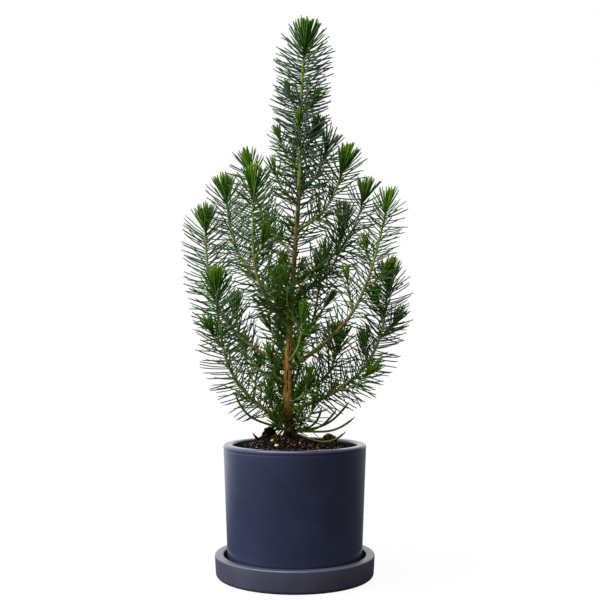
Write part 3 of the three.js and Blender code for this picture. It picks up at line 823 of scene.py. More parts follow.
class PineSoilSettings(bpy.types.PropertyGroup):
    """Potting mix."""

    crumbs: count("Crumbs", 7200, "Loose crumbs on the potting mix")
    smallest: length("Smallest crumb", 0.32, "Radius of the smallest crumb")
    largest: length("Largest crumb", 1.4, "Radius of the largest crumb")
    peat: colour("Peat", (8, 5, 3), "Dark peat")
    fibre: colour("Bark chips", (68, 44, 36), "Red-brown chips of bark")
    pale: colour("Pale crumbs", (200, 182, 144), "Pale crumbs of mineral")


class PineWoodSettings(bpy.types.PropertyGroup):
    """Trunk, limbs and twigs."""

    plate_depth: length("Plate depth", 0.42, "Depth of the cracks between the plates of bark")
    crack_width: length("Crack width", 0.8, "Half the width of the trunk's long cracks")
    crack_depth: length("Crack depth", 1.6, "Depth of the trunk's long cracks")
    sides: count("Sides", 44, "Sides of the trunk's skin")
    old: colour("Old bark", (206, 146, 42), "Orange-brown bark of the trunk's foot")
    crevice: colour("Crevices", (36, 21, 10), "Depth of the bark's cracks")
    bough: colour("Bough", (112, 97, 38), "Bark near the foot of a limb")
    tan: colour("Middle of a limb", (104, 108, 48), "Bark along the middle of a limb")
    green: colour("Young stem", (110, 134, 58), "Skin of young stems")
    leader: colour("Leader", (140, 162, 78), "Skin of the leader's young top")


class PineNeedleSettings(bpy.types.PropertyGroup):
    """Needles and seed leaves."""

    length: length("Length", 29.0, "A full needle, mid shoot")
    tuft_length: length("Tuft length", 28.0, "A needle at the bud")
    width: length("Width", 1.55, "Width of a needle")
    thickness: length("Thickness", 1.15, "Thickness of a needle through its keel")
    pitch: length("Pitch", 0.84, "Rise along the stem from needle to needle")
    twig_spacing: length("Finer twigs", 42.0, "Distance between the finer twigs of a limb")
    curl: amount("Curl", 16.0, "How far a needle bends towards the bud, in degrees", 0.0, 60.0)
    # Painted shade: the darker tone dealt to needles deep in the crown, where the crown shades them
    shade: colour("Inner", (34, 62, 12), "Needles deep in the crown")
    blue: colour("Blue-green", (70, 92, 73), "Grown needles with their bloom")
    green: colour("Green", (48, 84, 8), "Grown needles")
    fresh: colour("Fresh", (58, 97, 8), "This year's needles")
    tip: colour("Tip", (78, 114, 6), "Needles round the bud")
    seed_leaf: colour("Seed leaf", (58, 72, 22), "Long seed leaves at the trunk's foot")


class PineStudioSettings(bpy.types.PropertyGroup):
    """Camera, floor and light."""

    distance: length("Camera distance", 900.0, "From the camera to the pot's axis")
    height: length("Camera height", 222.8, "Camera above the floor")
    key: amount("Key light", 4.1, "Strength of the soft sun from the upper left", 0.0, 20.0)
    fill: amount("Fill light", 1.62, "Strength of the light from all round", 0.0, 5.0)
    softbox: amount("Softbox", 18.0, "Power of the softbox at the left, in watts", 0.0, 500.0)
    floor: colour("Floor shadow", (50, 50, 50), "How much light the white floor loses in shadow")
    bounce: colour("Floor in reflections", (60, 60, 64), "How bright the floor in front is to the glaze")


SETTINGS = {
    "pine_vessel": PineVesselSettings,
    "pine_soil": PineSoilSettings,
    "pine_wood": PineWoodSettings,
    "pine_needles": PineNeedleSettings,
    "pine_studio": PineStudioSettings,
}


class PINE_OT_saucer(bpy.types.Operator):
    """Turns the saucer"""

    bl_idname = "pine.saucer"
    bl_label = "Saucer"

    def execute(self, context):
        vessel = context.scene.pine_vessel
        rim = vessel.saucer_radius / MM
        foot, height, lip, floor = SAUCER["foot"], SAUCER["height"], SAUCER["lip"], SAUCER["floor"]
        inside, cove, edge = rim - SAUCER["wall"], SAUCER["cove"], SAUCER["round"]
        profile = [
            (0, 0),
            (foot - edge - FLAT["saucer"], 0),
            *arc(foot - edge, edge, edge, -90, 0, 10),
            (lerp(foot, rim, 0.5), height / 2),
            *arc(rim - lip, height - lip, lip, 0, 90, 6),
            *arc(inside + lip, height - lip, lip, 90, 180, 6),
            (inside, (height + floor) / 2),
            *arc(inside - cove, floor + cove, cove, 0, -90, 5),
            (inside - cove - FLAT["saucer"], floor),
            (0, floor),
        ]
        skin = Skin()
        turn_profile(skin, profile, vessel.facets)
        finish = glaze("saucer_glaze", vessel.saucer_light, vessel.saucer_dark, vessel.gloss + 0.12)
        piece = skin.build("saucer_turned", [finish])
        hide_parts("saucer")
        return {"FINISHED"}


class PINE_OT_pot(bpy.types.Operator):
    """Turns the pot, with its rounded rim and the fine groove below it"""

    bl_idname = "pine.pot"
    bl_label = "Pot"

    def execute(self, context):
        vessel = context.scene.pine_vessel
        rim = vessel.rim_radius / MM
        foot, shoulder, edge = POT["foot"], POT["shoulder"] + FILLING, POT["round"]
        top, band = POT["top"] + BEAD, POT["top"] - POT["band"] + GROOVE_LIFT
        inside, heel, rounding = rim - POT["wall"], POT["heel"], np.radians(np.linspace(-15, 90, 16))
        bulge = top - band - POT["shade_line"]
        shares = np.linspace(0, 1, 8)
        profile = [
            (0, POT_BASE),
            (foot - FLAT["pot"], POT_BASE),
            *arc(foot - heel, POT_BASE + heel, heel, -90, -8, 6),
            *zip(lerp(foot, shoulder, shares), lerp(POT_BASE + 3, band - 3 * GROOVE, shares)),
            *arc(shoulder - GROOVE_ROUND, band - GROOVE, GROOVE_ROUND, 0, 30, 2),
            (shoulder, band),
            *zip(rim - edge * (1 - np.cos(rounding)), top + bulge * (np.sin(rounding) - 1)),
            *arc(inside + edge, top - edge, edge, 90, 180, 9),
            (inside, top - 2 * edge),
            (lerp(foot, rim, 0.5) - POT["wall"], lerp(POT_FLOOR, top, 0.5)),
            (foot - POT["wall"], POT_FLOOR),
            (0, POT_FLOOR),
        ]
        skin = Skin()
        turn_profile(skin, profile, vessel.facets)
        finish = glaze("pot_glaze", vessel.glaze_light, vessel.glaze_dark, vessel.gloss)
        piece = skin.build("pot_turned", [finish])
        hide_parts("pot")
        return {"FINISHED"}


def pot_inside(height):
    share = (height - POT_FLOOR) / (POT["top"] - POT["round"] - POT_FLOOR)
    return lerp(POT["foot"], POT["rim"], share) - POT["wall"]


def soil_bed(sides=200, rows=64, inner_rows=22):
    """Points and triangles of the potting mix: the source's mound, with crumbly ground."""
    rim, bottom = pot_inside(SOIL["edge"]) - SOIL["play"], POT_FLOOR + GAP
    angles = around(sides)
    circle = np.stack([np.cos(angles), np.sin(angles)], axis=-1)
    rings = [(rim - lerp(3, 0, s), lerp(bottom, SOIL["edge"] - 1, s), 0.0, 0.0) for s in (0.0, 1.0)]
    for s in np.linspace(0, 1, rows):
        height = lerp(SOIL["edge"], SOIL["crown"], s ** SOIL["steep"])
        rings.append((lerp(rim, SOIL["level"], s), height, SOIL["shift"] * s, smoothstep(s, 0, 0.08)))
    for s in np.linspace(0.95, 0.03, inner_rows):
        rings.append((SOIL["level"] * s, SOIL["crown"], SOIL["shift"], 1.0))
    grid = []
    for radius, height, shift, rough in rings:
        for x, y in circle * radius + (shift, 0):
            lumps = sum(
                noise.fractal(Vector((x, y, layer)) / width, rugged, 2.0, octaves) * high
                for width, layer, rugged, octaves, high in LUMPS
            )
            away = math.hypot(x - CLUMP["centre"][0], y - CLUMP["centre"][1]) / CLUMP["spread"]
            clump = CLUMP["rise"] * math.exp(-(away**4) / 2)
            grid.append((x, y, height + rough * (lumps + clump)))
    return capped(np.array(grid).reshape(len(rings), sides, 3))


def icosahedron():
    """Points of unit radius, and the triangles between nearest neighbours, facing out."""
    corners = [(0, a, b) for a in (-1, 1) for b in (-GOLDEN_RATIO, GOLDEN_RATIO)]
    points = unit(np.array([np.roll(corner, places) for places in (0, 2, 1) for corner in corners]))
    near = np.linalg.norm(points[:, None] - points, axis=2) < 1.1

    def faces_out(a, b, c):
        return np.dot(np.cross(points[b] - points[a], points[c] - points[a]), points[a]) > 0

    triangles = [
        (a, b, c) if faces_out(a, b, c) else (a, c, b)
        for a in range(12)
        for b in range(a + 1, 12)
        for c in range(b + 1, 12)
        if near[a, b] and near[b, c] and near[a, c]
    ]
    return points, np.array(triangles)


def crumbs(skin, centres, sizes, finishes, random, rough=0.22):
    """Uneven crumbs, one for each centre: sizes has three half-widths for each."""
    points, triangles = icosahedron()
    number = len(centres)
    shapes = points * (1 + rough * random.standard_normal((number, 12, 1))) * sizes[:, None]
    turns = np.array([Euler(angles).to_matrix() for angles in random.uniform(0, FULL_TURN, (number, 3))])
    shapes = np.einsum("nij,nkj->nki", turns, shapes) + centres[:, None]
    offsets = 12 * np.arange(number)[:, None, None]
    skin.add(shapes, triangles + offsets, np.repeat(finishes, len(triangles)))


def uneven_sizes(random, number, smallest, largest):
    """Three half-widths for each of a number of crumbs."""
    return random.uniform(smallest, largest, (number, 1)) * random.uniform(0.7, 1.3, (number, 3))


def resting(ground, x, y, lift):
    """Places over the ground, each lifted a little."""
    down = Vector((0, 0, -1))
    tops = [ground.ray_cast(Vector((*place, 200)), down)[0].z for place in zip(x, y)]
    return np.stack([x, y, np.array(tops) + lift], axis=-1)


class PINE_OT_soil(bpy.types.Operator):
    """Fills the pot with potting mix and scatters its crumbs"""

    bl_idname = "pine.soil"
    bl_label = "Potting mix"

    def execute(self, context):
        mix = context.scene.pine_soil
        finishes = [
            earth("peat", mix.peat, linear(18, 12, 8)),
            earth("peat_brown", linear(36, 25, 20), linear(19, 13, 11)),
            earth("bark_chips", mix.fibre, linear(60, 42, 34)),
            earth("mineral", mix.pale, linear(150, 130, 96), 0.8),
            earth("grit", linear(130, 108, 98), linear(90, 70, 62), 0.8),
        ]
        points, triangles = soil_bed()
        skin = Skin()
        skin.add(points, triangles)
        bed = skin.build("soil_bed", finishes[:1])
        ground = BVHTree.FromPolygons(points.tolist(), triangles.tolist())

        random = np.random.default_rng(21)
        number = mix.crumbs
        radius = (pot_inside(SOIL["edge"]) - 2) * np.sqrt(random.random(number))
        angle = random.uniform(0, FULL_TURN, number)
        spread = mix.largest / mix.smallest
        sizes = mix.smallest / MM * spread ** (random.random(number) ** 2.2)
        centres = resting(ground, radius * np.cos(angle), radius * np.sin(angle), 0.25 * sizes)
        tones = random.choice(len(CRUMB_SHARES), number, p=CRUMB_SHARES)
        # No large pale crumbs, and more of the dark peat along the wall, which is painted shade of the pot's
        # wall
        tones[(sizes > 0.8) & (tones >= MINERAL)] = BROWN_PEAT
        tones[(radius > 50) & (random.random(number) < 0.6)] = PEAT
        shapes = sizes[:, None] * random.uniform(0.65, 1.35, (number, 3))
        loose = Skin()
        crumbs(loose, centres, shapes, tones, random)

        x, y, size = np.array(PALE_CRUMBS).T
        shapes, tones = size[:, None] * (1.1, 0.9, 0.75), np.full(len(x), MINERAL)
        crumbs(loose, resting(ground, x, y, 0.6 * size), shapes, tones, random, 0.12)
        self.add_clod(loose, ground, random)
        for pile in (CLUMP, HEAP):
            self.add_pile(loose, pile, ground, random)
        self.add_chip(loose)
        scatter = loose.build("soil_crumbs", finishes, smooth=False)
        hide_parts("soil")
        return {"FINISHED"}

    def add_clod(self, skin, ground, random):
        """A rough clod behind the seed leaf at the right, packed from crumbs."""
        middle = resting(ground, *np.array([CLOD["at"]]).T, CLOD["lift"])
        core, number = np.array([CLOD["size"]]) * 0.85, CLOD["crumbs"]
        centres = unit(random.standard_normal((number, 3))) * core + middle
        sizes = uneven_sizes(random, number, 0.7, 1.7)
        tones = random.choice([BROWN_PEAT, CHIPS, GRIT], number, p=[0.3, 0.25, 0.45])
        crumbs(skin, centres, sizes, tones, random)
        crumbs(skin, middle, core, [PEAT], random, 0.05)

    def add_pile(self, skin, pile, ground, random):
        """Peat heaped against the trunk, mostly the darkest peat: the mix's own colour, made darker as
        painted shade at the trunk's foot.
        """
        number = pile["crumbs"]
        x, y = (random.normal(middle, 0.72 * pile["spread"], number) for middle in pile["centre"])
        away = np.hypot(x - pile["centre"][0], y - pile["centre"][1]) / pile["spread"]
        sizes = uneven_sizes(random, number, 0.8, 1.9)
        places = resting(ground, x, y, 0.3)
        if pile is HEAP:
            places[:, 2] += pile["rise"] * np.exp(-(away**2)) * random.random(number)
        # The large share of dark peat here is partly painted shade
        crumbs(skin, places, sizes, random.choice([PEAT, BROWN_PEAT], number, p=[0.85, 0.15]), random)

    def add_chip(self, skin):
        """A dark chip of bark that stands in the mix, left of the trunk."""
        chip = Path(bezier(np.array(CHIP["foot"], float), np.array(CHIP["tip"], float)), 8)
        shares = np.linspace(0, 1, 6)
        skin.add(*capped(ring_points(chip, shares, CHIP["radius"] * (1.1 - shares**2), 7)))


def plate_relief(place, height):
    """How far the bark stands proud there, from -1 in a crack to 1: long plates that flake, low down."""
    drawn = Vector((place.x, place.y, place.z * PLATES["drawn"])) / PLATES["width"]
    near, next_near = noise.voronoi(drawn)[0][:2]
    crack = 1 - min(1.0, (next_near - near) / PLATES["gap"])
    drawn = Vector((place.x, place.y, place.z * PLATES["flake_drawn"])) / PLATES["flake"]
    flake = noise.fractal(drawn, 0.8, 2.0, 3)
    aged = 1 - smoothstep(height, *PLATES["aged"])
    return lerp(0.35, 1.0, aged) * (0.5 * flake - crack * lerp(0.25, 1.0, aged))


class PINE_OT_trunk(bpy.types.Operator):
    """Grows the trunk with its flare, its flaking plates and its long cracks"""

    bl_idname = "pine.trunk"
    bl_label = "Trunk"

    def execute(self, context):
        wood = context.scene.pine_wood
        heights = TRUNK_FOOT + (TRUNK_TOP - TRUNK_FOOT) * np.linspace(0, 1, 720) ** 1.1
        shares = trunk_share(heights)
        angles = around(wood.sides)
        lobe = FLARE["lobe"] * np.clip(1 - (heights - TRUNK_FOOT) / FLARE["height"], 0, 1)
        radii = trunk_radius(heights)[:, None] * (1 + lobe[:, None] * np.cos(3 * angles))
        smooth = ring_points(TRUNK_PATH, shares, radii, wood.sides)
        depth = wood.plate_depth / MM
        relief = np.array([[plate_relief(Vector(p), z) for p in row] for row, z in zip(smooth, heights)])
        centres = TRUNK_PATH.at(shares)[:, None]
        crack = self.cracks(smooth - centres, heights, wood.crack_width / MM)
        radii = radii + depth * relief * np.minimum(1, radii / 4) - wood.crack_depth / MM * crack
        rings = ring_points(TRUNK_PATH, shares, np.maximum(radii, 0.3), wood.sides)
        rings[0, :, 2] = TRUNK_FOOT
        points, triangles = capped(rings)
        in_crack = np.append(crack.ravel(), [0, 0])[triangles].mean(axis=1) > 0.35
        skin = Skin()
        skin.add(points, triangles, in_crack.astype(int))
        # The cracks' faces: their own dark, deepened with painted shade
        dark = (tuple(c * share for c in wood.crevice) for share in CRACK_PAINTED_SHADES)
        finishes = [bark("trunk_bark", wood.leader, wood.old, wood.crevice), earth("crack", *dark)]
        piece = skin.build("trunk_bark_relief", finishes)
        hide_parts("trunk")
        return {"FINISHED"}

    @staticmethod
    def cracks(offset, heights, width):
        """1 in the middle of each long crack that faces the viewer."""
        depth = np.zeros(offset.shape[:2])
        for low, high, middle in CRACKS:
            within = smoothstep(heights, low - 1, low + 2) * (1 - smoothstep(heights, high - 2, high + 1))
            across = np.abs(offset[..., 0] - middle - 0.15 * np.sin(heights / 2)[:, None])
            depth = np.maximum(depth, (1 - smoothstep(across, 0, width)) * within[:, None])
        return np.where(offset[..., 1] < 0, depth, 0)


def add_stem(skin, stem, finish_of, sides=9):
    """A limb or twig as a closed tube that swells into what carries it."""
    path = stem.path
    shares = np.linspace(0.01, 1, max(4, round(path.length / COLLAR["step"])))
    beyond = np.maximum(0, shares * path.length - COLLAR["length"])
    radii = stem.radius(shares) * (1 + COLLAR["swell"] * np.exp(-beyond / COLLAR["fade"]))
    rings = ring_points(path, shares, radii, sides)
    for ring in rings:
        for k, place in enumerate(ring):
            rugged = noise.fractal(Vector(place) / SKIN_GRAIN, 0.8, 2.0, 2)
            ring[k] += unit(place - ring.mean(0)) * SKIN_RELIEF * rugged
    points, triangles = capped(rings)
    row = np.minimum(triangles.min(axis=1) // sides, len(shares) - 1)
    skin.add(points, triangles, finish_of(shares[row]))


class PINE_OT_limbs(bpy.types.Operator):
    """Grows limbs, side twigs and short shoots, with the leaf bases on their skin"""

    bl_idname = "pine.limbs"
    bl_label = "Limbs and twigs"

    def execute(self, context):
        wood, needles = context.scene.pine_wood, context.scene.pine_needles
        finishes = [
            stem_skin("bough_bark", wood.bough, linear(136, 122, 58)),
            stem_skin("limb_bark", wood.tan, linear(130, 130, 68)),
            stem_skin("green_stem", wood.green, linear(138, 160, 82)),
        ]
        stems = grow_stems(needles)
        skin = Skin()
        for stem in stems:
            add_stem(skin, stem, lambda share, stem=stem: self.age(stem, share))
        rows = grow_needles([leader_stem(), *stems], needles)
        self.add_leaf_bases(skin, rows)
        piece = skin.build("limb_bark_relief", finishes)
        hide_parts(*(f"bough_{name}" for name in LIMBS))
        return {"FINISHED"}

    @staticmethod
    def age(stem, share):
        """The skin at a share of a stem, by the distance from its bud, with bark at its foot."""
        from_bud = (1 - share) * stem.path.length
        grown = np.where(from_bud < SKIN_AGES["tan"], TAN_SKIN, BARK)
        skins = np.where(from_bud < SKIN_AGES["green"], GREEN_SKIN, grown)
        return np.where(share * stem.path.length < SKIN_AGES["collar"], BARK, skins)

    @staticmethod
    def add_leaf_bases(skin, rows):
        """The ridge that runs down the stem below each needle's root."""
        along, out, half = rows["along"], rows["out"], LEAF_BASE["half"]
        side = np.cross(along, out) * half
        surface = rows["axis"] + out * (rows["radius"] * LEAF_BASE["sunk"])[:, None]
        tail, head = surface - along * LEAF_BASE["tail"], surface + along * LEAF_BASE["head"]
        points = np.stack([surface - side, surface + side, tail, head, surface + out * half], axis=1)
        faces = np.array([(0, 2, 1), (0, 1, 3), (0, 4, 2), (4, 1, 2), (0, 3, 4), (3, 1, 4)])
        offsets = 5 * np.arange(len(points))[:, None, None]
        skin.add(points, faces + offsets, np.repeat(rows["age"], len(faces)))


def needle_marks(stem, pitch):
    """Distances along the stem at which needles stand, closer together towards the bud."""
    end = stem.path.length - stem.crown * stem.size
    mark, marks = stem.bare * end, []
    while mark < end:
        marks.append(mark)
        opened = smoothstep(end - mark, 0, TUFT_DEPTH)
        lower = smoothstep(end - mark, 50, 110)
        closeness = lerp(lerp(1.0, TUFT_PITCH, stem.tuft), 1.0, opened)
        mark += pitch * stem.spread * closeness * lerp(0.85, 1.15, lower)
    return np.array(marks)


def grow_needles(stems, needles):
    """One row for each needle of the plant, as arrays: where it stands, how it leans and its tone."""
    random = np.random.default_rng(8)
    space = WoodSpace(stems[1:])
    grown = []
    for stem in stems:
        rows = needles_of(stem, needles, random)
        rows["length"] = clear_lengths(rows, space)
        keep = rows["length"] > 0
        grown.append({key: value[keep] for key, value in rows.items()})
    return {key: np.concatenate([rows[key] for rows in grown]) for key in grown[0]}


def needles_of(stem, needles, random):
    """One row for each needle of a stem, before any is cut to be clear of the wood."""
    path, end, leader = stem.path, stem.path.length, stem.order == 0
    marks = needle_marks(stem, needles.pitch / MM)
    if leader:
        heights = path.at(marks / end)[:, 2]
        share = lerp(*LEADER["share"], smoothstep(heights, *LEADER["between"]))
        marks = marks[random.random(len(marks)) < share]
    core = max(3, round(CORE["number"] * stem.size * stem.tuft))
    marks = np.concatenate([marks, np.full(core, marks[-1])])
    number = len(marks)
    share = np.clip(marks / end, 0, 1)
    axis, radius = path.at(share), stem.radius(share)
    along, first, second = path.axes(share)
    azimuth = GOLDEN_ANGLE * np.arange(number) + random.normal(0, STRAY["azimuth"], number)
    out = turned(first, second, azimuth)
    facing = smoothstep(-out[:, 1], *THINNED["square"]) * smoothstep(marks.max() - marks, *THINNED["below"])
    if leader:
        facing *= smoothstep(axis[:, 2], *LEADER["hidden"])
    from_bud = (marks.max() - marks) / stem.size
    opened = smoothstep(from_bud, 0, TUFT_DEPTH)
    full = smoothstep(marks - stem.bare * end, -2, FILL)
    size = lerp(needles.tuft_length, needles.length, opened) / MM * lerp(FOOT_LENGTH, 1.0, full) * stem.size
    lean = stem.opening * np.interp(from_bud, *np.array(OPENING).T)
    lean += STRAY["lean"] * random.standard_normal(number)
    lean[-core:] = CORE["fan"] * stem.size * random.random(core) ** (1.0 if leader else 0.85)
    size[-core:] *= random.uniform(*CORE["length"], core)
    rows = {
        "axis": axis,
        "root": axis + out * (radius * 0.75)[:, None],
        "along": along,
        "out": out,
        "radius": radius,
        "lean": np.radians(np.maximum(lean, 1)),
        "curl": np.radians(needles.curl) * random.uniform(*STRAY["curl"], number) * lerp(0.4, 1.0, opened),
        "roll": random.normal(0, STRAY["roll"], number),
        "sway": random.normal(0, STRAY["sway"], number),
        "breadth": np.full(number, lerp(SLENDER, 1.0, stem.size) + (LEADER["broader"] if leader else 0.0)),
        "length": size * random.uniform(*STRAY["length"], number),
        "tone": deal_tones(stem, from_bud, lean, axis, random),
        "age": PINE_OT_limbs.age(stem, share),
        "region": np.full(number, REGIONS.index(stem.region)),
    }
    kept = random.random(number) > THINNED["share"] * facing
    return {key: value[kept] for key, value in rows.items()}


def deal_tones(stem, from_bud, lean, axis, random):
    """The index of each needle's tone: fresh round the buds, green inside, blue-green outside and above, and
    the dark shade tone deep in the crown, which is painted shade.
    """
    number, young, heights = len(from_bud), 1.0 if stem.order < 2 else 0.6, axis[:, 2]
    inner = 1 - smoothstep(np.hypot(axis[:, 0], axis[:, 1]), *DEALT["inner"])
    low = 1 - smoothstep(heights, *DEALT["low"])
    green = CHANCE["green"] + CHANCE["low"] * lerp(CHANCE["outside"], 1.0, inner) * low
    tones = np.where(random.random(number) < green, GREEN, BLUE)
    # Painted shade: needles deep in the low crown take the dark shade tone
    deep = inner * (1 - smoothstep(heights, *DEALT["deep"]))
    tones = np.where(random.random(number) < CHANCE["shaded"] + CHANCE["deep"] * deep, SHADE, tones)
    fresh = CHANCE["fresh"] * smoothstep(heights, *DEALT["fresh"]) * low if stem.region == "shoots" else 0.0
    tones = np.where(random.random(number) < fresh, FRESH, tones)
    topmost = from_bud < young * (BUD_REACH[0] + BUD_REACH[1] * random.standard_normal(number))
    tones = np.where(topmost, np.where(lean < FRESH_LEAN, FRESH, GREEN), tones)
    return np.where(lean < TIP_LEAN * young, TIP, tones)


def heading(rows, share):
    bend = rows["lean"] - rows["curl"] * share / 2
    return turned(rows["along"], rows["out"], bend)


def clear_lengths(rows, space):
    """Each needle's length, cut until it is clear of the wood, or 0 where it never is."""
    lengths = np.zeros(len(rows["length"]))
    ways = [(share, heading(rows, share)) for share in (0.3, 0.55, 0.8, 1.0)]
    for i, size in enumerate(rows["length"]):
        for cut in CUTS:
            places = [rows["root"][i] + way[i] * size * cut * share for share, way in ways]
            if all(space.is_free(place) for place in places):
                lengths[i] = size * cut
                break
    return lengths


def blades(rows, width, thickness):
    """Points and triangles of needles: keeled blades that bend towards the bud and end in a point."""
    shares, widths = np.array(BLADE).T
    number, rings = len(rows["root"]), len(shares)
    side = np.cross(rows["along"], rows["out"])
    corners = []
    for share, wide in zip([*shares, 1.0], [*widths, 0.0]):
        way = heading(rows, share)
        centre = rows["root"] + way * (rows["length"] * share)[:, None]
        centre += side * (rows["sway"] * rows["length"] * share**2)[:, None]
        face = np.cross(way, side)
        half = wide / 2 * rows["breadth"][:, None]
        across = turned(side, face, rows["roll"]) * width * half
        through = turned(face, -side, rows["roll"]) * thickness * half
        ring = [centre + across, centre + through, centre - across, centre - through]
        corners += ring if wide else [centre]
    k = np.arange(4)
    last = (rings - 1) * 4
    tip = np.stack([last + k, last + (k + 1) % 4, np.full(4, rings * 4)], axis=-1)
    faces = np.concatenate([grid_triangles(rings, 4), tip, [(2, 1, 0), (3, 2, 0)]])
    offsets = (rings * 4 + 1) * np.arange(number)[:, None, None]
    return np.stack(corners, axis=1), faces + offsets, len(faces)


class PINE_OT_needles(bpy.types.Operator):
    """Clothes the leader, limbs, twigs and shoots in needles"""

    bl_idname = "pine.needles"
    bl_label = "Needles"

    def execute(self, context):
        needles = context.scene.pine_needles
        finishes = [needle_skin(f"needle_{t}", getattr(needles, t), linear(*BLOOM[t])) for t in TONES]
        rows = grow_needles([leader_stem(), *grow_stems(needles)], needles)
        for index, region in enumerate(REGIONS):
            chosen = {key: value[rows["region"] == index] for key, value in rows.items()}
            points, faces, each = blades(chosen, needles.width / MM, needles.thickness / MM)
            skin = Skin()
            skin.add(points, faces, np.repeat(chosen["tone"], each))
            piece = skin.build(f"{region}_needles", finishes)
            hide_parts(*self.stood_for(region))
        return {"FINISHED"}

    @staticmethod
    def stood_for(region):
        """The nodes of the masses that a region's needles stand for."""
        if region == "leader":
            return [f"leader_{i}" for i in (1, 2, 3)]
        if region == "shoots":
            return [f"shoot_{name}" for name in SHOOTS]
        return [f"needles_{name}" for name in LIMBS if region_of(name) == region]


class PINE_OT_seed_leaves(bpy.types.Operator):
    """Lays out the long seed leaves at the trunk's foot"""

    bl_idname = "pine.seed_leaves"
    bl_label = "Seed leaves"

    def execute(self, context):
        needles = context.scene.pine_needles
        skin = Skin()
        shares = np.linspace(0.05, 1, 60)
        radii = SEED_LEAF_RADIUS * (1 - smoothstep(shares, 0.86, 1.02)) ** 0.6 + 0.08
        angles = np.broadcast_to(around(8), (len(shares), 8))
        for row in SEED_LEAVES:
            path = limb_path(SEED_LEAF_FOOT, *row)
            _, first, second = path.axes(shares)
            out = turned(first[:, None], 0.9 * second[:, None], angles)
            skin.add(*capped(path.at(shares)[:, None] + out * radii[:, None, None]))
        finish = needle_skin("seed_leaf", needles.seed_leaf, linear(92, 106, 40))
        piece = skin.build("seed_leaf_blades", [finish])
        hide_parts("seed_leaves")
        return {"FINISHED"}


def turned_to(way):
    """The turn by which a lamp shines along a direction."""
    return Vector(way).to_track_quat("-Z", "Y").to_euler()


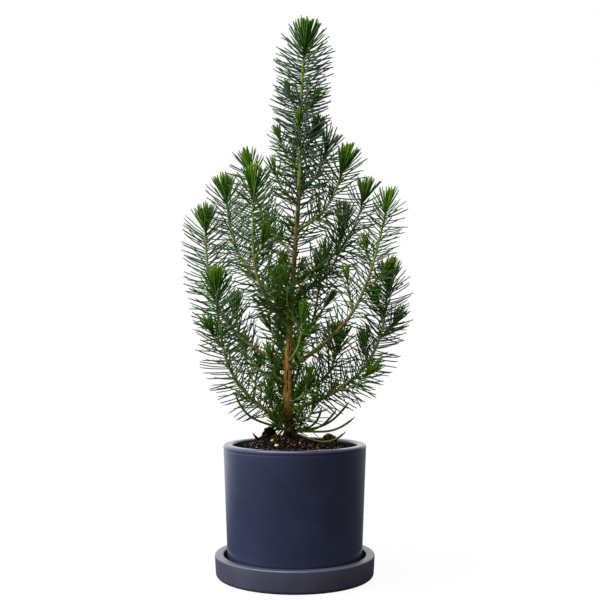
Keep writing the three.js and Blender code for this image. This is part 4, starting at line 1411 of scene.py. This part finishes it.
class PINE_OT_studio(bpy.types.Operator):
    """Sets the floor, the light and the photograph's camera"""

    bl_idname = "pine.studio"
    bl_label = "Studio"

    def execute(self, context):
        studio = context.scene.pine_studio
        self.add_floor(studio)
        self.add_camera(context.scene, studio)
        self.add_light(context.scene, studio)
        context.scene.view_settings.view_transform = "Standard"
        return {"FINISHED"}

    def add_floor(self, studio, half=20.0):
        mesh = bpy.data.meshes.new("floor")
        corners = [(-half, -half, 0), (half, -half, 0), (half, half, 0), (-half, half, 0)]
        mesh.from_pydata(corners, [], [(0, 1, 2, 3)])
        shader = Shader("pale_floor")
        shadowed = shader.node("ShaderNodeBsdfDiffuse", {}, {"Color": (*studio.floor, 1.0)})
        bright = shader.ramp(shader.axis(1), 0.0, 0.8) * (1.0 - 0.8 * shader.ramp(shader.axis(0), -0.1, 0.3))
        mirrored = shader.blend(bright, studio.bounce, linear(165, 165, 170))
        unseen = shader.node("ShaderNodeBsdfDiffuse", {}, {"Color": mirrored})
        glow = shader.node("ShaderNodeEmission", {}, {"Color": WHITE, "Strength": FLOOR_GLOW})
        seen = shader.node("ShaderNodeLightPath", {})
        lit = shader.node("ShaderNodeAddShader", {}, [shadowed, glow])
        shader.end(shader.node("ShaderNodeMixShader", {}, [seen, unseen, lit]))
        mesh.materials.append(shader.material)
        floor = put("floor", mesh)
        floor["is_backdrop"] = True

    def add_camera(self, scene, studio):
        camera = bpy.data.cameras.new("camera")
        camera.sensor_width = 36.0
        camera.lens = camera.sensor_width * PHOTO["focal"] / PHOTO["side"]
        camera.shift_x = 0.5 - PHOTO["axis"] / PHOTO["side"]
        camera.shift_y = PHOTO["horizon"] / PHOTO["side"] - 0.5
        scene.camera = put("camera", camera)
        scene.camera.location = (0, -studio.distance, studio.height)
        scene.camera.rotation_euler = (math.pi / 2, 0, 0)

    def add_light(self, scene, studio):
        sun = bpy.data.lights.new("key", "SUN")
        sun.energy, sun.angle = studio.key, math.radians(KEY["spread"])
        put("key", sun).rotation_euler = turned_to(KEY["way"])

        panel = bpy.data.lights.new("softbox", "AREA")
        panel.shape, panel.energy = "RECTANGLE", studio.softbox
        panel.size, panel.size_y = SOFTBOX["size"]
        box = put("softbox", panel)
        box.visible_glossy = False
        box.location = SOFTBOX["at"]
        box.rotation_euler = turned_to(Vector(SOFTBOX["aim"]) - box.location)

        world = bpy.data.worlds.new("studio")
        world.use_nodes = True
        scene.world = world
        shader = Shader("studio", world.node_tree)
        seen = shader.node("ShaderNodeLightPath", {})
        way = shader.node("ShaderNodeTexCoord", {})
        right, back, up = (shader.axis(i, way) for i in range(3))
        left = 1.0 - shader.ramp(right, -0.85, 0.15)
        behind = shader.ramp(back, 0.3, 0.9) * (1.0 - 0.62 * shader.ramp(right, 0.3, 0.9))
        brightness = AROUND["base"] + AROUND["behind"] * behind + AROUND["left"] * left
        brightness = brightness + AROUND["above"] * shader.ramp(up, 0.2, 0.9)
        brightness = brightness + AROUND["right"] * shader.ramp(right, 0.3, 0.8)
        walls = shader.node("ShaderNodeBackground", {}, [WHITE, studio.fill * brightness])
        backdrop = shader.node("ShaderNodeBackground", {}, [WHITE, 1.0])
        shader.end(shader.node("ShaderNodeMixShader", {}, [seen, walls, backdrop]), "ShaderNodeOutputWorld")


STEPS = PINE_OT_studio, PINE_OT_saucer, PINE_OT_pot, PINE_OT_soil, PINE_OT_trunk
STEPS += PINE_OT_limbs, PINE_OT_needles, PINE_OT_seed_leaves


class PINE_PT_panel(bpy.types.Panel):
    """The seedling's pieces, in the order in which they are built"""

    bl_idname = "PINE_PT_panel"
    bl_label = "Stone Pine"
    bl_space_type = "VIEW_3D"
    bl_region_type = "UI"
    bl_category = "Stone Pine"

    def draw(self, context):
        for step in STEPS:
            self.layout.operator(step.bl_idname)
        for name, group in SETTINGS.items():
            box = self.layout.box()
            box.label(text=group.__doc__.rstrip("."))
            for key in group.__annotations__:
                box.prop(getattr(context.scene, name), key)


def register():
    for group in (*SETTINGS.values(), *STEPS, PINE_PT_panel):
        bpy.utils.register_class(group)
    for name, group in SETTINGS.items():
        setattr(bpy.types.Scene, name, bpy.props.PointerProperty(type=group))


def unregister():
    for name in SETTINGS:
        delattr(bpy.types.Scene, name)
    for group in (PINE_PT_panel, *STEPS, *SETTINGS.values()):
        bpy.utils.unregister_class(group)


def main():
    register()
    for step in STEPS:
        getattr(bpy.ops.pine, step.bl_idname.split(".")[1])()
    boxes = {"cad": CAD_BOX, "visual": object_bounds()}
    {name: [list(corner) for corner in box] for name, box in boxes.items()}


if __name__ == "__main__":
    main()
